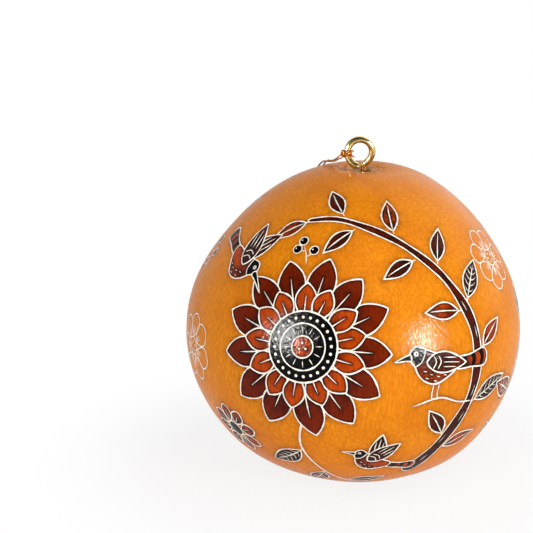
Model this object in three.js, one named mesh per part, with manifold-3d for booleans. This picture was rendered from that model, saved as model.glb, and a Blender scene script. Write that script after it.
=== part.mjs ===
// A carved gourd ornament: a small dried gourd with its seeds still inside, a brass screw eye in the
// stem scar, and a loop of thin metallic thread tied to the eye. Millimetres, +Z up, the front towards
// -Y. The origin is the centre of the foot, the small flat that the gourd stands on.

import * as THREE from 'three';
import { mergeVertices } from 'three/addons/utils/BufferGeometryUtils.js';
import Module from 'manifold-3d';

const wasm = await Module();
wasm.setup();

// Driving dimensions of the gourd
const gourdWidth = 76.4;
const gourdHeight = 71.5;
const footDiameter = 12;
const shellWall = 3.2;
const stemLean = 0.8;
const bellyLean = 1.5;
const dimpleDepth = 1.5;
const dimpleRadius = 5.5;
const stemPlugDepth = 6.4;
const stemPlugRadius = 8;

// Fullness of the fruit from stem to blossom end: the distance from its heart at an angle from the
// stem, as a cosine series in shares of the mean distance.
const fullness = [1, -0.0122, -0.0294, 0.0286, -0.0015, 0.0066, -0.0054];

// Driving dimensions of the screw eye
const wireDiameter = 1.5;
const eyeWidth = 7;
const eyeHeight = 7.8;
const eyeDropLength = 0.36;
const eyePitch = 1.8;
const freeEndAngle = 177;
const bendStartAngle = 128;
const eyeOverhang = 1.1;
const shankShift = 0.45;
const bendDepth = 1;
const shankLength = 12;
const gimletLength = 3;
const seatClearance = 0.3;

// Driving dimensions of the thread and its knot
const threadDiameter = 0.35;
const knotAngle = 97;
const knotTurns = 4;
const knotTurnPitch = 0.42;
const knotLumpLength = 0.7;
const knotSwing = 25;
const tailLength = 0.9;

// Driving dimensions of the seeds
const seedLength = 11;
const seedWidth = 5.4;
const seedThickness = 2;
const seedSpacing = 0.6;
const seedRings = 3;

// Mesh fineness
const profileSteps = 34;
const cavitySteps = 22;
const roundSegments = 64;
const wireSides = 12;
const threadSides = 8;
const threadSteps = 80;

const finishes = {
  skin: { color: 0xdc8a30, roughness: 0.32, metalness: 0 },
  brass: { color: 0xd9b24a, roughness: 0.2, metalness: 1 },
  thread: { color: 0xb06a24, roughness: 0.4, metalness: 0.5 },
  seed: { color: 0xcbb389, roughness: 0.8, metalness: 0 },
};

const ornament = new THREE.Group();

function addPiece(name, geometry, finish, parent = ornament) {
  const mesh = new THREE.Mesh(geometry, new THREE.MeshStandardMaterial(finishes[finish]));
  mesh.name = name;
  parent.add(mesh);
  return mesh;
}

// Joining of closed solids

function toSolid(geometry) {
  const bare = geometry.clone();
  bare.deleteAttribute('normal');
  bare.deleteAttribute('uv');
  const merged = mergeVertices(bare, 1e-5);
  return new wasm.Manifold(new wasm.Mesh({
    numProp: 3,
    vertProperties: new Float32Array(merged.attributes.position.array),
    triVerts: new Uint32Array(merged.index.array),
  }));
}

function toGeometry(solid) {
  const mesh = solid.getMesh();
  const geometry = new THREE.BufferGeometry();
  geometry.setAttribute('position', new THREE.BufferAttribute(new Float32Array(mesh.vertProperties), 3));
  geometry.setIndex(new THREE.BufferAttribute(new Uint32Array(mesh.triVerts), 1));
  geometry.computeVertexNormals();
  return geometry;
}

function joined(geometries) {
  return toGeometry(geometries.map(toSolid).reduce((whole, solid) => whole.add(solid)));
}

// The form of the fruit

function heartDistance(angle) {
  return fullness.reduce((sum, share, order) => sum + share * Math.cos(order * angle), 0);
}

function unitProfile(angle) {
  const distance = heartDistance(angle);
  return { radius: distance * Math.sin(angle), height: distance * Math.cos(angle) };
}

const surveyAngles = Array.from({ length: 2001 }, (_, i) => (i / 2000) * Math.PI);
const widthScale = gourdWidth / 2 / Math.max(...surveyAngles.map((angle) => unitProfile(angle).radius));
const footAngle = surveyAngles.filter(
  (angle) => angle > Math.PI / 2 && unitProfile(angle).radius * widthScale >= footDiameter / 2,
).pop();
const heightScale = gourdHeight / (unitProfile(0).height - unitProfile(footAngle).height);

// How far the axis of the leaning fruit has moved sideways at a height above the foot
function axisShift(height) {
  const share = height / gourdHeight;
  return stemLean * share - 4 * bellyLean * share * (1 - share);
}

function skinProfile(angle) {
  const { radius, height } = unitProfile(angle);
  const r = radius * widthScale;
  const nearStem = angle < Math.PI / 2 ? Math.exp(-((r / dimpleRadius) ** 2)) : 0;
  const z = (height - unitProfile(footAngle).height) * heightScale - dimpleDepth * nearStem;
  return new THREE.Vector2(r, z);
}

// The inner wall follows the skin at the wall's thickness, and thickens to the corky plug at the stem
function innerProfile(angle) {
  const step = 1e-3;
  const along = skinProfile(angle + step).sub(skinProfile(angle - step)).normalize();
  const inward = new THREE.Vector2(along.y, -along.x);
  const here = skinProfile(angle);
  const nearStem = angle < Math.PI / 2 ? Math.exp(-((here.x / stemPlugRadius) ** 4)) : 0;
  return here.addScaledVector(inward, shellWall + (stemPlugDepth - shellWall) * nearStem);
}

function leaning(geometry) {
  const position = geometry.attributes.position;
  for (let i = 0; i < position.count; i += 1) {
    position.setX(i, position.getX(i) + axisShift(position.getZ(i)));
  }
  geometry.computeVertexNormals();
  return geometry;
}

const stemTop = skinProfile(0).y;
const stemAxis = axisShift(stemTop);
const holeRadius = wireDiameter / 2 + seatClearance;

// The shell: the leaning fruit, less its seed cavity and the straight pilot hole of the eye through the
// stem plug. The mouth of the hole is worn a little wider by the bend of the wire.
const shankAxis = stemAxis + shankShift;
const mouthRadius = holeRadius + seatClearance / 2;
const mouthDepth = 2 * seatClearance;

function turnedFrom(outline, segments) {
  const turned = new THREE.LatheGeometry(outline, segments);
  turned.rotateX(Math.PI / 2);
  return turned;
}

function skinOutline() {
  const outline = [new THREE.Vector2(0, 0)];
  for (let i = 0; i < profileSteps; i += 1) {
    outline.push(skinProfile(footAngle * (1 - i / profileSteps)));
  }
  outline.push(new THREE.Vector2(0, stemTop));
  return outline;
}

function cavityOutline() {
  const outline = [new THREE.Vector2(0, innerProfile(Math.PI).y)];
  for (let i = 1; i < cavitySteps; i += 1) {
    outline.push(innerProfile(Math.PI * (1 - i / cavitySteps)));
  }
  outline.push(new THREE.Vector2(0, innerProfile(0).y));
  return outline;
}

function pilotHoleGeometry() {
  const mouthSlope = (mouthRadius - holeRadius) / mouthDepth;
  const overcut = mouthDepth;
  const hole = turnedFrom([
    new THREE.Vector2(0, -stemPlugDepth - overcut),
    new THREE.Vector2(holeRadius, -stemPlugDepth - overcut),
    new THREE.Vector2(holeRadius, -mouthDepth),
    new THREE.Vector2(mouthRadius + mouthSlope * overcut, overcut),
    new THREE.Vector2(0, overcut),
  ], wireSides * 2);
  hole.translate(shankAxis, 0, stemTop);
  return hole;
}

function shellGeometry() {
  const fruit = toSolid(leaning(turnedFrom(skinOutline(), roundSegments)));
  const cavity = toSolid(leaning(turnedFrom(cavityOutline(), roundSegments)));
  return toGeometry(fruit.subtract(cavity).subtract(toSolid(pilotHoleGeometry())));
}

addPiece('gourd_shell', shellGeometry(), 'skin');

// The screw eye is one bent wire: a drop-shaped eye that leans over to the left of its shank, goes up
// from it on the right and over the top, and ends cut off square at the bottom, in front of the shank.
// Angles run from the top of the eye, and are positive on the left.

const eye = new THREE.Group();
eye.position.set(shankAxis, 0, stemTop);
ornament.add(eye);

const wireRadius = wireDiameter / 2;
const eyeRadius = (eyeWidth - wireDiameter) / 2;
const eyeCentre = eyeHeight - wireRadius - eyeRadius;

function eyePoint(degrees) {
  const angle = THREE.MathUtils.degToRad(degrees);
  const drop = ((1 - Math.cos(angle)) / 2) ** 6;
  const reach = eyeRadius + eyeDropLength * drop;
  const turned = (degrees + bendStartAngle) / (freeEndAngle + bendStartAngle);
  return new THREE.Vector3(
    -eyeOverhang - reach * Math.sin(angle),
    -eyePitch * turned,
    eyeCentre + reach * Math.cos(angle),
  );
}

function eyeDirection(degrees) {
  return eyePoint(degrees + 0.5).sub(eyePoint(degrees - 0.5)).normalize();
}

class EyeArc extends THREE.Curve {
  getPoint(t) {
    return eyePoint(-bendStartAngle + t * (freeEndAngle + bendStartAngle));
  }
}

function screwEyeGeometry() {
  const bendFoot = new THREE.Vector3(0, 0, -bendDepth);
  const bendTop = eyePoint(-bendStartAngle);
  const reach = bendTop.distanceTo(bendFoot) * 0.42;
  const wire = new THREE.CurvePath();
  wire.add(new THREE.CubicBezierCurve3(
    bendFoot,
    bendFoot.clone().add(new THREE.Vector3(0, 0, reach)),
    bendTop.clone().addScaledVector(eyeDirection(-bendStartAngle), -reach),
    bendTop,
  ));
  wire.add(new EyeArc());
  const section = new THREE.Shape().absarc(0, 0, wireRadius, 0, 2 * Math.PI);
  const bent = new THREE.ExtrudeGeometry(section, {
    steps: 56, curveSegments: wireSides / 2, extrudePath: wire,
  });
  const shank = new THREE.LatheGeometry([
    new THREE.Vector2(0, -shankLength),
    new THREE.Vector2(wireRadius * 0.2, -shankLength + wireRadius * 0.3),
    new THREE.Vector2(wireRadius, -shankLength + gimletLength),
    new THREE.Vector2(wireRadius, -bendDepth + wireRadius * 0.2),
    new THREE.Vector2(0, -bendDepth + wireRadius * 0.2),
  ], wireSides);
  shank.rotateX(Math.PI / 2);
  return joined([bent, shank]);
}

addPiece('screw_eye', screwEyeGeometry(), 'brass', eye);

// The knot: turns of thread round the wire, the lump that ties them on the outer side, and two short
// tails that stick out inside the eye. It slides on the wire.

const threadRadius = threadDiameter / 2;
const turnRadius = wireRadius + seatClearance + threadRadius;

function alongBetween(from, to, radius, steps) {
  const section = new THREE.Shape().absarc(0, 0, radius, 0, 2 * Math.PI);
  return new THREE.ExtrudeGeometry(section, {
    steps, curveSegments: threadSides / 2, extrudePath: new THREE.LineCurve3(from, to),
  });
}

function knotGeometry() {
  const pieces = [];
  for (let i = 0; i < knotTurns; i += 1) {
    const turn = new THREE.TorusGeometry(turnRadius, threadRadius * 1.25, 6, 14);
    turn.translate(0, 0, (i - (knotTurns - 1) / 2) * knotTurnPitch);
    pieces.push(turn);
  }
  const lump = new THREE.SphereGeometry(1, 12, 8);
  lump.scale(knotLumpLength / 2, threadDiameter * 1.8, knotTurns * knotTurnPitch * 0.6);
  lump.translate(-turnRadius - knotLumpLength * 0.2, 0, 0);
  pieces.push(lump);
  for (const side of [-1, 1]) {
    const root = new THREE.Vector3(turnRadius * 0.8, -turnRadius * 0.4, side * knotTurnPitch);
    const tip = root.clone().add(new THREE.Vector3(tailLength, -0.25 * tailLength, side * 0.3 * tailLength));
    pieces.push(alongBetween(root, tip, threadRadius, 2));
  }
  return joined(pieces);
}

const knot = addPiece('hanger_knot', knotGeometry(), 'thread', eye);
knot.position.copy(eyePoint(knotAngle));
knot.quaternion.setFromUnitVectors(new THREE.Vector3(0, 0, -1), eyeDirection(knotAngle));
knot.rotateZ(THREE.MathUtils.degToRad(-knotSwing));

// The loop is one thread, 150 mm long. Its two strands leave the knot together, cross the shoulder to
// the back and hang down behind, where the loop ends in a small round turn above the floor.

const loopRoute = [
  [-4.5, -0.3, 73.2],
  [-5.3, 1.3, 72.1],
  [-6.0, 3.2, 71.3],
  [-6.6, 5.1, 70.8],
  [-7.2, 8.2, 70.1],
  [-7.9, 12.0, 68.7],
  [-8.7, 16.4, 66.4],
  [-9.5, 20.4, 63.6],
  [-10.3, 24.6, 59.7],
  [-11.0, 29.7, 53.8],
  [-11.7, 33.0, 48.5],
  [-12.2, 35.4, 43.0],
  [-12.5, 36.7, 37.4],
  [-12.7, 37.2, 32.3],
  [-12.4, 37.4, 28.1],
  [-12.2, 37.5, 23.8],
  [-12.2, 37.7, 20.8],
  [-12.6, 37.4, 19.4],
  [-14.0, 36.6, 18.8],
  [-15.2, 36.0, 19.4],
  [-15.7, 35.7, 20.8],
  [-15.6, 35.8, 23.8],
  [-15.4, 36.0, 28.1],
  [-15.2, 36.2, 32.3],
  [-14.9, 35.9, 37.4],
  [-14.4, 34.6, 43.0],
  [-13.7, 32.2, 48.5],
  [-12.8, 29.0, 53.8],
  [-11.9, 24.0, 59.6],
  [-10.9, 19.9, 63.4],
  [-9.9, 16.0, 66.3],
  [-8.9, 11.7, 68.6],
  [-8.1, 7.9, 70.0],
  [-7.3, 4.4, 70.8],
  [-6.6, 2.6, 71.2],
  [-5.6, 0.9, 71.7],
  [-4.7, -0.5, 72.5],
];

function loopGeometry() {
  const route = new THREE.CatmullRomCurve3(loopRoute.map((point) => new THREE.Vector3(...point)));
  route.arcLengthDivisions = 2000;
  const section = new THREE.Shape().absarc(0, 0, threadRadius, 0, 2 * Math.PI);
  return new THREE.ExtrudeGeometry(section, {
    steps: threadSteps, curveSegments: threadSides / 2, extrudePath: route,
  });
}

addPiece('hanger_loop', loopGeometry(), 'thread');

// The dried seeds lie loose on the floor of the cavity, in rings round the one at the bottom. Each is
// flat and tapers to the end that hung in the pulp, with two blunt shoulders at the other.

function seedGeometry() {
  const half = seedLength / 2;
  const side = seedWidth / 2;
  const bevel = seedThickness * 0.35;
  const outline = new THREE.Shape();
  outline.moveTo(-half, 0);
  outline.quadraticCurveTo(-half, side * 0.6, -half * 0.6, side * 0.75);
  outline.lineTo(half * 0.72, side);
  outline.lineTo(half, side * 0.55);
  outline.lineTo(half * 0.93, 0);
  outline.lineTo(half, -side * 0.55);
  outline.lineTo(half * 0.72, -side);
  outline.lineTo(-half * 0.6, -side * 0.75);
  outline.quadraticCurveTo(-half, -side * 0.6, -half, 0);
  const seed = new THREE.ExtrudeGeometry(outline, {
    depth: seedThickness - 2 * bevel,
    bevelThickness: bevel,
    bevelSize: bevel,
    bevelOffset: -bevel,
    bevelSegments: 1,
    curveSegments: 3,
  });
  seed.translate(0, 0, bevel - seedThickness / 2);
  return seed;
}

// The place on the cavity's floor at a distance from its lowest point, measured along the wall
function floorPlace(distance) {
  let angle = Math.PI;
  let walked = 0;
  let here = innerProfile(angle);
  while (walked < distance) {
    angle -= 1e-3;
    const next = innerProfile(angle);
    walked += next.distanceTo(here);
    here = next;
  }
  const slope = innerProfile(angle - 1e-3).sub(innerProfile(angle + 1e-3)).normalize();
  return { point: here, slope };
}

function laySeed(name, distance, turn) {
  const { point, slope } = floorPlace(distance);
  const cavityRadius = gourdWidth / 2 - shellWall;
  const lift = seedThickness / 2 + seatClearance + seedLength ** 2 / (8 * cavityRadius);
  const outwards = new THREE.Vector3(Math.cos(turn), Math.sin(turn), 0);
  const uphill = outwards.clone().multiplyScalar(slope.x).setZ(slope.y);
  const around = new THREE.Vector3(-Math.sin(turn), Math.cos(turn), 0);
  const up = new THREE.Vector3().crossVectors(uphill, around);
  const seed = addPiece(name, seedGeometry(), 'seed');
  seed.quaternion.setFromRotationMatrix(new THREE.Matrix4().makeBasis(around, up.clone().cross(around), up));
  seed.position.copy(outwards).multiplyScalar(point.x).setZ(point.y).addScaledVector(up, lift);
  seed.position.x += axisShift(point.y);
}

function laySeeds() {
  let count = 1;
  laySeed('seed_01', 0, 0);
  for (let ring = 1; ring <= seedRings; ring += 1) {
    const distance = (seedLength + seedWidth) / 2 + seedSpacing + (ring - 1) * (seedWidth + seedSpacing);
    const slot = Math.atan((seedLength + seedSpacing) / 2 / (distance - seedWidth / 2));
    const inRing = Math.floor(Math.PI / slot);
    for (let i = 0; i < inRing; i += 1) {
      count += 1;
      laySeed(`seed_${String(count).padStart(2, '0')}`, distance, ((i + 0.25 * ring) / inRing) * 2 * Math.PI);
    }
  }
}

laySeeds();

export default ornament;
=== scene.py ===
import math

import bpy
import numpy as np
from mathutils import Matrix, Vector, kdtree, noise
from mathutils.geometry import delaunay_2d_cdt


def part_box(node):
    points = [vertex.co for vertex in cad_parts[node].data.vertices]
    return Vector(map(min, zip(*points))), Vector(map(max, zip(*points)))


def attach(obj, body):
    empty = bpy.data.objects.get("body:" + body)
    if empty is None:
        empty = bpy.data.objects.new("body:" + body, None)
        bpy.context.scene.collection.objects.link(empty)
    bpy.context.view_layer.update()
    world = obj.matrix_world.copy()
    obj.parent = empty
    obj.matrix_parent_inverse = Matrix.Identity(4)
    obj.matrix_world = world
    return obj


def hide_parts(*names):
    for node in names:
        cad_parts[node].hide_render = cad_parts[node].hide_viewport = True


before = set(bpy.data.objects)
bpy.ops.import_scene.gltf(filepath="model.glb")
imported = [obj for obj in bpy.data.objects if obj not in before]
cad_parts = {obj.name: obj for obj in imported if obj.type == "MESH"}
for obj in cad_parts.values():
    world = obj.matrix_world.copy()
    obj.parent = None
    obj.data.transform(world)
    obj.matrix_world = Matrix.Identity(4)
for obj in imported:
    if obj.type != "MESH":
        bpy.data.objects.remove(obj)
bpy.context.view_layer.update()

# Camera. The ornament is seen from a little above and from under half a metre away, through a long
# lens. Its heart lies right of the middle and below it, in a picture of 533 by 533 pixels.
MM = 0.001
PICTURE_PIXELS = 533
PIXELS_PER_MM = 4.368
HEART_PIXEL = (356.7, 320.9)
HEART = Vector((-0.34, 0.0, 34.15)) * MM
VIEW_DISTANCE = 450 * MM
VIEW_HEIGHT = math.radians(18)
NEAREST_SEEN = 9 * MM
SENSOR_WIDTH = 36


def in_scene(name, data):
    """A new object in the scene that holds the data."""
    made = bpy.data.objects.new(name, data)
    bpy.context.scene.collection.objects.link(made)
    return made


camera_data = bpy.data.cameras.new("camera")
camera = in_scene("camera", camera_data)
bpy.context.scene.camera = camera
camera_data.sensor_width = SENSOR_WIDTH
camera_data.lens = SENSOR_WIDTH * PIXELS_PER_MM * VIEW_DISTANCE / MM / PICTURE_PIXELS
camera_data.clip_start = NEAREST_SEEN
towards_camera = Vector((0, -math.cos(VIEW_HEIGHT), math.sin(VIEW_HEIGHT)))
rightwards = Vector((1, 0, 0))
upwards = towards_camera.cross(rightwards)
picture_middle = (HEART
                  + rightwards * (PICTURE_PIXELS / 2 - HEART_PIXEL[0]) / PIXELS_PER_MM * MM
                  + upwards * (HEART_PIXEL[1] - PICTURE_PIXELS / 2) / PIXELS_PER_MM * MM)
camera.location = HEART + towards_camera * VIEW_DISTANCE
camera.rotation_mode = "QUATERNION"
camera.rotation_quaternion = (picture_middle - camera.location).to_track_quat("-Z", "Y")


# Hanging loop. One 150 mm length of thin metallic thread, three plies twisted together, tied to the
# eye at both ends. Its strands cross the shoulder and hang down behind, where the loop turns back.
THREAD = 0.35
PLY_COUNT = 3
PLY_LAY = 1.3
PLY_LOBE = 0.30
PLY_VALLEY = 0.76
THREAD_SIDES = 15
THREAD_CORE = (0.13, 0.025, 0.003, 1)
THREAD_FOIL = (0.38, 0.11, 0.010, 1)
THREAD_GLINT = (0.64, 0.24, 0.025, 1)
LOOP_ROUTE = [
    (-4.5, -0.3, 73.2), (-5.3, 1.3, 72.1), (-6.0, 3.2, 71.3), (-6.6, 5.1, 70.8),
    (-7.2, 8.2, 70.1), (-7.9, 12.0, 68.7), (-8.7, 16.4, 66.4), (-9.5, 20.4, 63.6),
    (-10.3, 24.6, 59.7), (-11.0, 29.7, 53.8), (-11.7, 33.0, 48.5), (-12.2, 35.4, 43.0),
    (-12.5, 36.7, 37.4), (-12.7, 37.2, 32.3), (-12.4, 37.4, 28.1), (-12.2, 37.5, 23.8),
    (-12.2, 37.7, 20.8), (-12.6, 37.4, 19.4), (-14.0, 36.6, 18.8), (-15.2, 36.0, 19.4),
    (-15.7, 35.7, 20.8), (-15.6, 35.8, 23.8), (-15.4, 36.0, 28.1), (-15.2, 36.2, 32.3),
    (-14.9, 35.9, 37.4), (-14.4, 34.6, 43.0), (-13.7, 32.2, 48.5), (-12.8, 29.0, 53.8),
    (-11.9, 24.0, 59.6), (-10.9, 19.9, 63.4), (-9.9, 16.0, 66.3), (-8.9, 11.7, 68.6),
    (-8.1, 7.9, 70.0), (-7.3, 4.4, 70.8), (-6.6, 2.6, 71.2), (-5.6, 0.9, 71.7),
    (-4.7, -0.5, 72.5),
]
KNOT_ENTRIES = [(-3.9, -0.75, 73.7), (-3.9, -0.8, 72.9)]
ROUTE_STEP = 0.12
CURVE_STEPS = 24
FEWEST_STOPS = 4


def smooth_line(points, step, closed=False):
    """Points at even steps along a smooth curve through the given ones."""
    given = np.array(points, float)
    if closed:
        ends = np.vstack([given[-1:], given, given[:2]])
    else:
        ends = np.vstack([2 * given[:1] - given[1:2], given, 2 * given[-1:] - given[-2:-1]])
    share = np.linspace(0, 1, CURVE_STEPS, endpoint=False)[:, None]
    dense = []
    for before, start, end, after in zip(ends[:-3], ends[1:-2], ends[2:-1], ends[3:]):
        d0 = np.sqrt(np.linalg.norm(start - before))
        d1 = np.sqrt(np.linalg.norm(end - start))
        d2 = np.sqrt(np.linalg.norm(after - end))
        leave = ((start - before) / d0 - (end - before) / (d0 + d1) + (end - start) / d1) * d1
        reach = ((end - start) / d1 - (after - start) / (d1 + d2) + (after - end) / d2) * d1
        bend = 3 * (end - start) - 2 * leave - reach
        twist = 2 * (start - end) + leave + reach
        dense.append(start + leave * share + bend * share ** 2 + twist * share ** 3)
    dense.append(given[:1] if closed else given[-1:])
    dense = np.vstack(dense)
    walked = np.concatenate([[0], np.cumsum(np.linalg.norm(np.diff(dense, axis=0), axis=1))])
    stops = np.linspace(0, walked[-1], max(FEWEST_STOPS, round(walked[-1] / step) + 1))
    even = np.stack([np.interp(stops, walked, column) for column in dense.T], axis=1)
    return even[:-1] if closed else even


def make_mesh(name, points, edges, faces):
    """A mesh object from points in mm, with loose edges or with faces of any number of corners."""
    mesh = bpy.data.meshes.new(name)
    mesh.from_pydata([tuple(p) for p in np.asarray(points) * MM], edges, faces)
    return in_scene(name, mesh)


def line_object(name, lines):
    """Open lines in mm as one object of loose edges."""
    starts = np.cumsum([0] + [len(line) for line in lines])
    edges = [(k, k + 1) for a, b in zip(starts[:-1], starts[1:]) for k in range(a, b - 1)]
    return make_mesh(name, np.vstack(lines), edges, [])


def new_tree(name, sizes):
    """An empty modifier tree with its named sizes, its inputs and its end."""
    tree = bpy.data.node_groups.new(name, "GeometryNodeTree")
    tree.interface.new_socket("Geometry", in_out="INPUT", socket_type="NodeSocketGeometry")
    tree.interface.new_socket("Geometry", in_out="OUTPUT", socket_type="NodeSocketGeometry")
    for size in sizes:
        tree.interface.new_socket(size, in_out="INPUT", socket_type="NodeSocketFloat")
    return tree, tree.nodes.new("NodeGroupInput").outputs, tree.nodes.new("NodeGroupOutput")


def add_node(tree, kind, settings=None, **inputs):
    """A node with its settings and its inputs, each a value or another node's output."""
    node = tree.nodes.new(kind)
    for key, value in (settings or {}).items():
        setattr(node, key, value)
    for key, value in inputs.items():
        socket = node.inputs[int(key[1:])] if key[1:].isdigit() else node.inputs[key.replace("_", " ")]
        if isinstance(value, bpy.types.NodeSocket):
            tree.links.new(value, socket)
        else:
            socket.default_value = value
    return node


def add(tree, kind, settings=None, output=0, **inputs):
    """An output of a new node: the first one, or the one that is named."""
    return add_node(tree, kind, settings, **inputs).outputs[output]


def calc(tree, operation, *values):
    """The result of a sum on values or outputs."""
    inputs = {f"i{k}": value for k, value in enumerate(values)}
    return add(tree, "ShaderNodeMath", {"operation": operation}, **inputs)


def product(tree, *factors):
    """Values or outputs multiplied together."""
    total = factors[0]
    for factor in factors[1:]:
        total = calc(tree, "MULTIPLY", total, factor)
    return total


def close_tree(tree, end, made, finish):
    """Ends a modifier tree with what it made as a plain mesh in a finish."""
    made = add(tree, "GeometryNodeRealizeInstances", Geometry=made)
    made = add(tree, "GeometryNodeSetMaterial", Geometry=made, Material=finish)
    tree.links.new(made, end.inputs[0])


def finished(source, tree, sizes, name):
    """The plain mesh that a tree makes of an object, which is then removed."""
    modifier = source.modifiers.new(tree.name, "NODES")
    modifier.node_group = tree
    sockets = {s.name: s.identifier for s in tree.interface.items_tree if s.in_out == "INPUT"}
    for size, value in sizes.items():
        modifier[sockets[size]] = float(value)
    graph = bpy.context.evaluated_depsgraph_get()
    mesh = bpy.data.meshes.new_from_object(source.evaluated_get(graph))
    bpy.data.objects.remove(source)
    mesh.name = name
    return in_scene(name, mesh)


def new_material(name, roughness, **constants):
    """A material with its surface shader, whose unlinked sockets hold the constants."""
    material = bpy.data.materials.new(name)
    material.use_nodes = True
    tree = material.node_tree
    tree.nodes.clear()
    surface = add_node(tree, "ShaderNodeBsdfPrincipled", Roughness=roughness, **constants)
    add_node(tree, "ShaderNodeOutputMaterial", Surface=surface.outputs[0])
    return material, tree, surface


def object_place(tree, scale=(1, 1, 1)):
    """Object coordinates in mm, stretched by a scale."""
    place = add(tree, "ShaderNodeTexCoord", output="Object")
    stretch = [share / MM for share in scale]
    return add(tree, "ShaderNodeMapping", Vector=place, Scale=stretch)


def speckle(tree, place, per_mm, detail=2.0, roughness=0.5, distortion=0.0):
    """Soft noise between 0 and 1 with so many waves in a mm."""
    return add(tree, "ShaderNodeTexNoise", Vector=place, Scale=per_mm, Detail=detail,
               Roughness=roughness, Distortion=distortion, output="Fac")


def ranged(tree, value, low, high, to_low=0.0, to_high=1.0):
    """The value's range low to high as another range, smooth at both ends."""
    return add(tree, "ShaderNodeMapRange", {"interpolation_type": "SMOOTHSTEP"},
               Value=value, i1=low, i2=high, i3=to_low, i4=to_high)


def mixed(tree, share, first, second):
    """Two colours mixed by a share."""
    return add(tree, "ShaderNodeMix", {"data_type": "RGBA"}, output=2, i0=share, i6=first, i7=second)


def layered(tree, colour, *layers):
    """A colour with others laid over it in turn, each by its own share."""
    for share, over in layers:
        colour = mixed(tree, share, colour, over)
    return colour


def bumped(tree, height, depth, under=None):
    """A surface direction raised by a height between 0 and 1, over a depth in mm."""
    inputs = {} if under is None else {"Normal": under}
    return add(tree, "ShaderNodeBump", Height=height, Distance=depth * MM, Strength=1.0, **inputs)


def finish_surface(tree, surface, colour, height, depth):
    """Gives a surface its colour, and a relief of a height between 0 and 1 over a depth in mm."""
    tree.links.new(colour, surface.inputs["Base Color"])
    tree.links.new(bumped(tree, height, depth), surface.inputs["Normal"])


def thread_tree():
    """Follows lines with a twisted section of several plies."""
    tree, given, end = new_tree("twisted thread", ["Thickness", "Lay", "Plies"])
    line = add(tree, "GeometryNodeMeshToCurve", Mesh=given["Geometry"])
    walked = add(tree, "GeometryNodeSplineParameter", output="Length")
    twist = product(tree, calc(tree, "DIVIDE", walked, given["Lay"]), math.tau)
    line = add(tree, "GeometryNodeSetCurveTilt", Curve=line, Tilt=twist)
    section = add(tree, "GeometryNodeCurvePrimitiveCircle", Resolution=THREAD_SIDES)
    share = add(tree, "GeometryNodeSplineParameter", output="Factor")
    wave = calc(tree, "COSINE", product(tree, share, given["Plies"], math.pi))
    lobe = calc(tree, "MULTIPLY_ADD", calc(tree, "ABSOLUTE", wave), PLY_LOBE, PLY_VALLEY)
    grown = add(tree, "ShaderNodeVectorMath", {"operation": "SCALE"},
                Vector=add(tree, "GeometryNodeInputPosition"),
                Scale=product(tree, lobe, given["Thickness"], 0.5))
    section = add(tree, "GeometryNodeSetPosition", Geometry=section, Position=grown)
    tube = add(tree, "GeometryNodeCurveToMesh", Curve=line, Profile_Curve=section, Fill_Caps=True)
    tube = add(tree, "GeometryNodeSetShadeSmooth", Geometry=tube)
    close_tree(tree, end, tube, thread_finish)
    return tree


def thread_material():
    """Copper-gold foil wound on a brown core, which shows between the turns of the foil."""
    material, tree, surface = new_material("copper-gold thread", 0.42, Metallic=0.7,
                                           Specular_IOR_Level=0.2)
    place = object_place(tree)
    foil = ranged(tree, speckle(tree, place, 6.0, detail=3), 0.40, 0.62)
    glint = ranged(tree, speckle(tree, place, 2.3), 0.45, 0.65)
    colour = layered(tree, THREAD_CORE, (foil, THREAD_FOIL), (glint, THREAD_GLINT))
    finish_surface(tree, surface, colour, foil, 0.03)
    return material


thread_finish = thread_material()
twisted_thread = thread_tree()
THREAD_SIZES = {"Thickness": THREAD * MM, "Lay": PLY_LAY * MM, "Plies": PLY_COUNT}
loop_line = smooth_line([KNOT_ENTRIES[0], *LOOP_ROUTE, KNOT_ENTRIES[1]], ROUTE_STEP)
loop = finished(line_object("loop_line", [loop_line]), twisted_thread, THREAD_SIZES, "thread_loop")
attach(loop, "hanger")
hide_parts("hanger_loop")


# Knot. The two ends of the thread are wound round the wire of the eye, crossed over their own turns
# and tied in a small lump on the outer side. The cut tails stick out inside the eye and fray.
SHANK_LENGTH = 12.0
WIRE = 1.5
EYE_RADIUS = 2.75
EYE_CENTRE = 4.3
EYE_DROP = 0.36
DROP_SHARPNESS = 6
EYE_PITCH = 1.8
EYE_START = -150
EYE_END = 177
CLIMB_START = -128
EYE_OVERHANG = 1.1
KNOT_ANGLE = 97
KNOT_SWING = -25
KNOT_TURNS = 4
TURN_PITCH = 0.38
TURN_STEPS = 40
WINDING_GAP = 0.01
STRAND_STEP = 0.08
FIBRE = 0.11
FIBRE_STEP = 0.06
FIBRE_LENGTH = 0.30
FIBRE_SPREADS = (-0.5, -0.2, 0.1, 0.45)

eye_low, eye_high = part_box("screw_eye")
eye_middle = (eye_low.x + eye_high.x) / 2 / MM
shank_top = np.array([eye_middle + EYE_OVERHANG, 0, eye_low.z / MM + SHANK_LENGTH])


def eye_point(degrees):
    """A point on the middle of the eye's wire, by its angle from the top, positive on the left."""
    angle = np.radians(degrees)
    reach = EYE_RADIUS + EYE_DROP * ((1 - np.cos(angle)) / 2) ** DROP_SHARPNESS
    forwards = -EYE_PITCH * np.maximum(degrees - CLIMB_START, 0) / (EYE_END - CLIMB_START)
    away = [-EYE_OVERHANG - reach * np.sin(angle), forwards + 0 * angle, EYE_CENTRE + reach * np.cos(angle)]
    return shank_top + np.stack(away, axis=-1)


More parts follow.
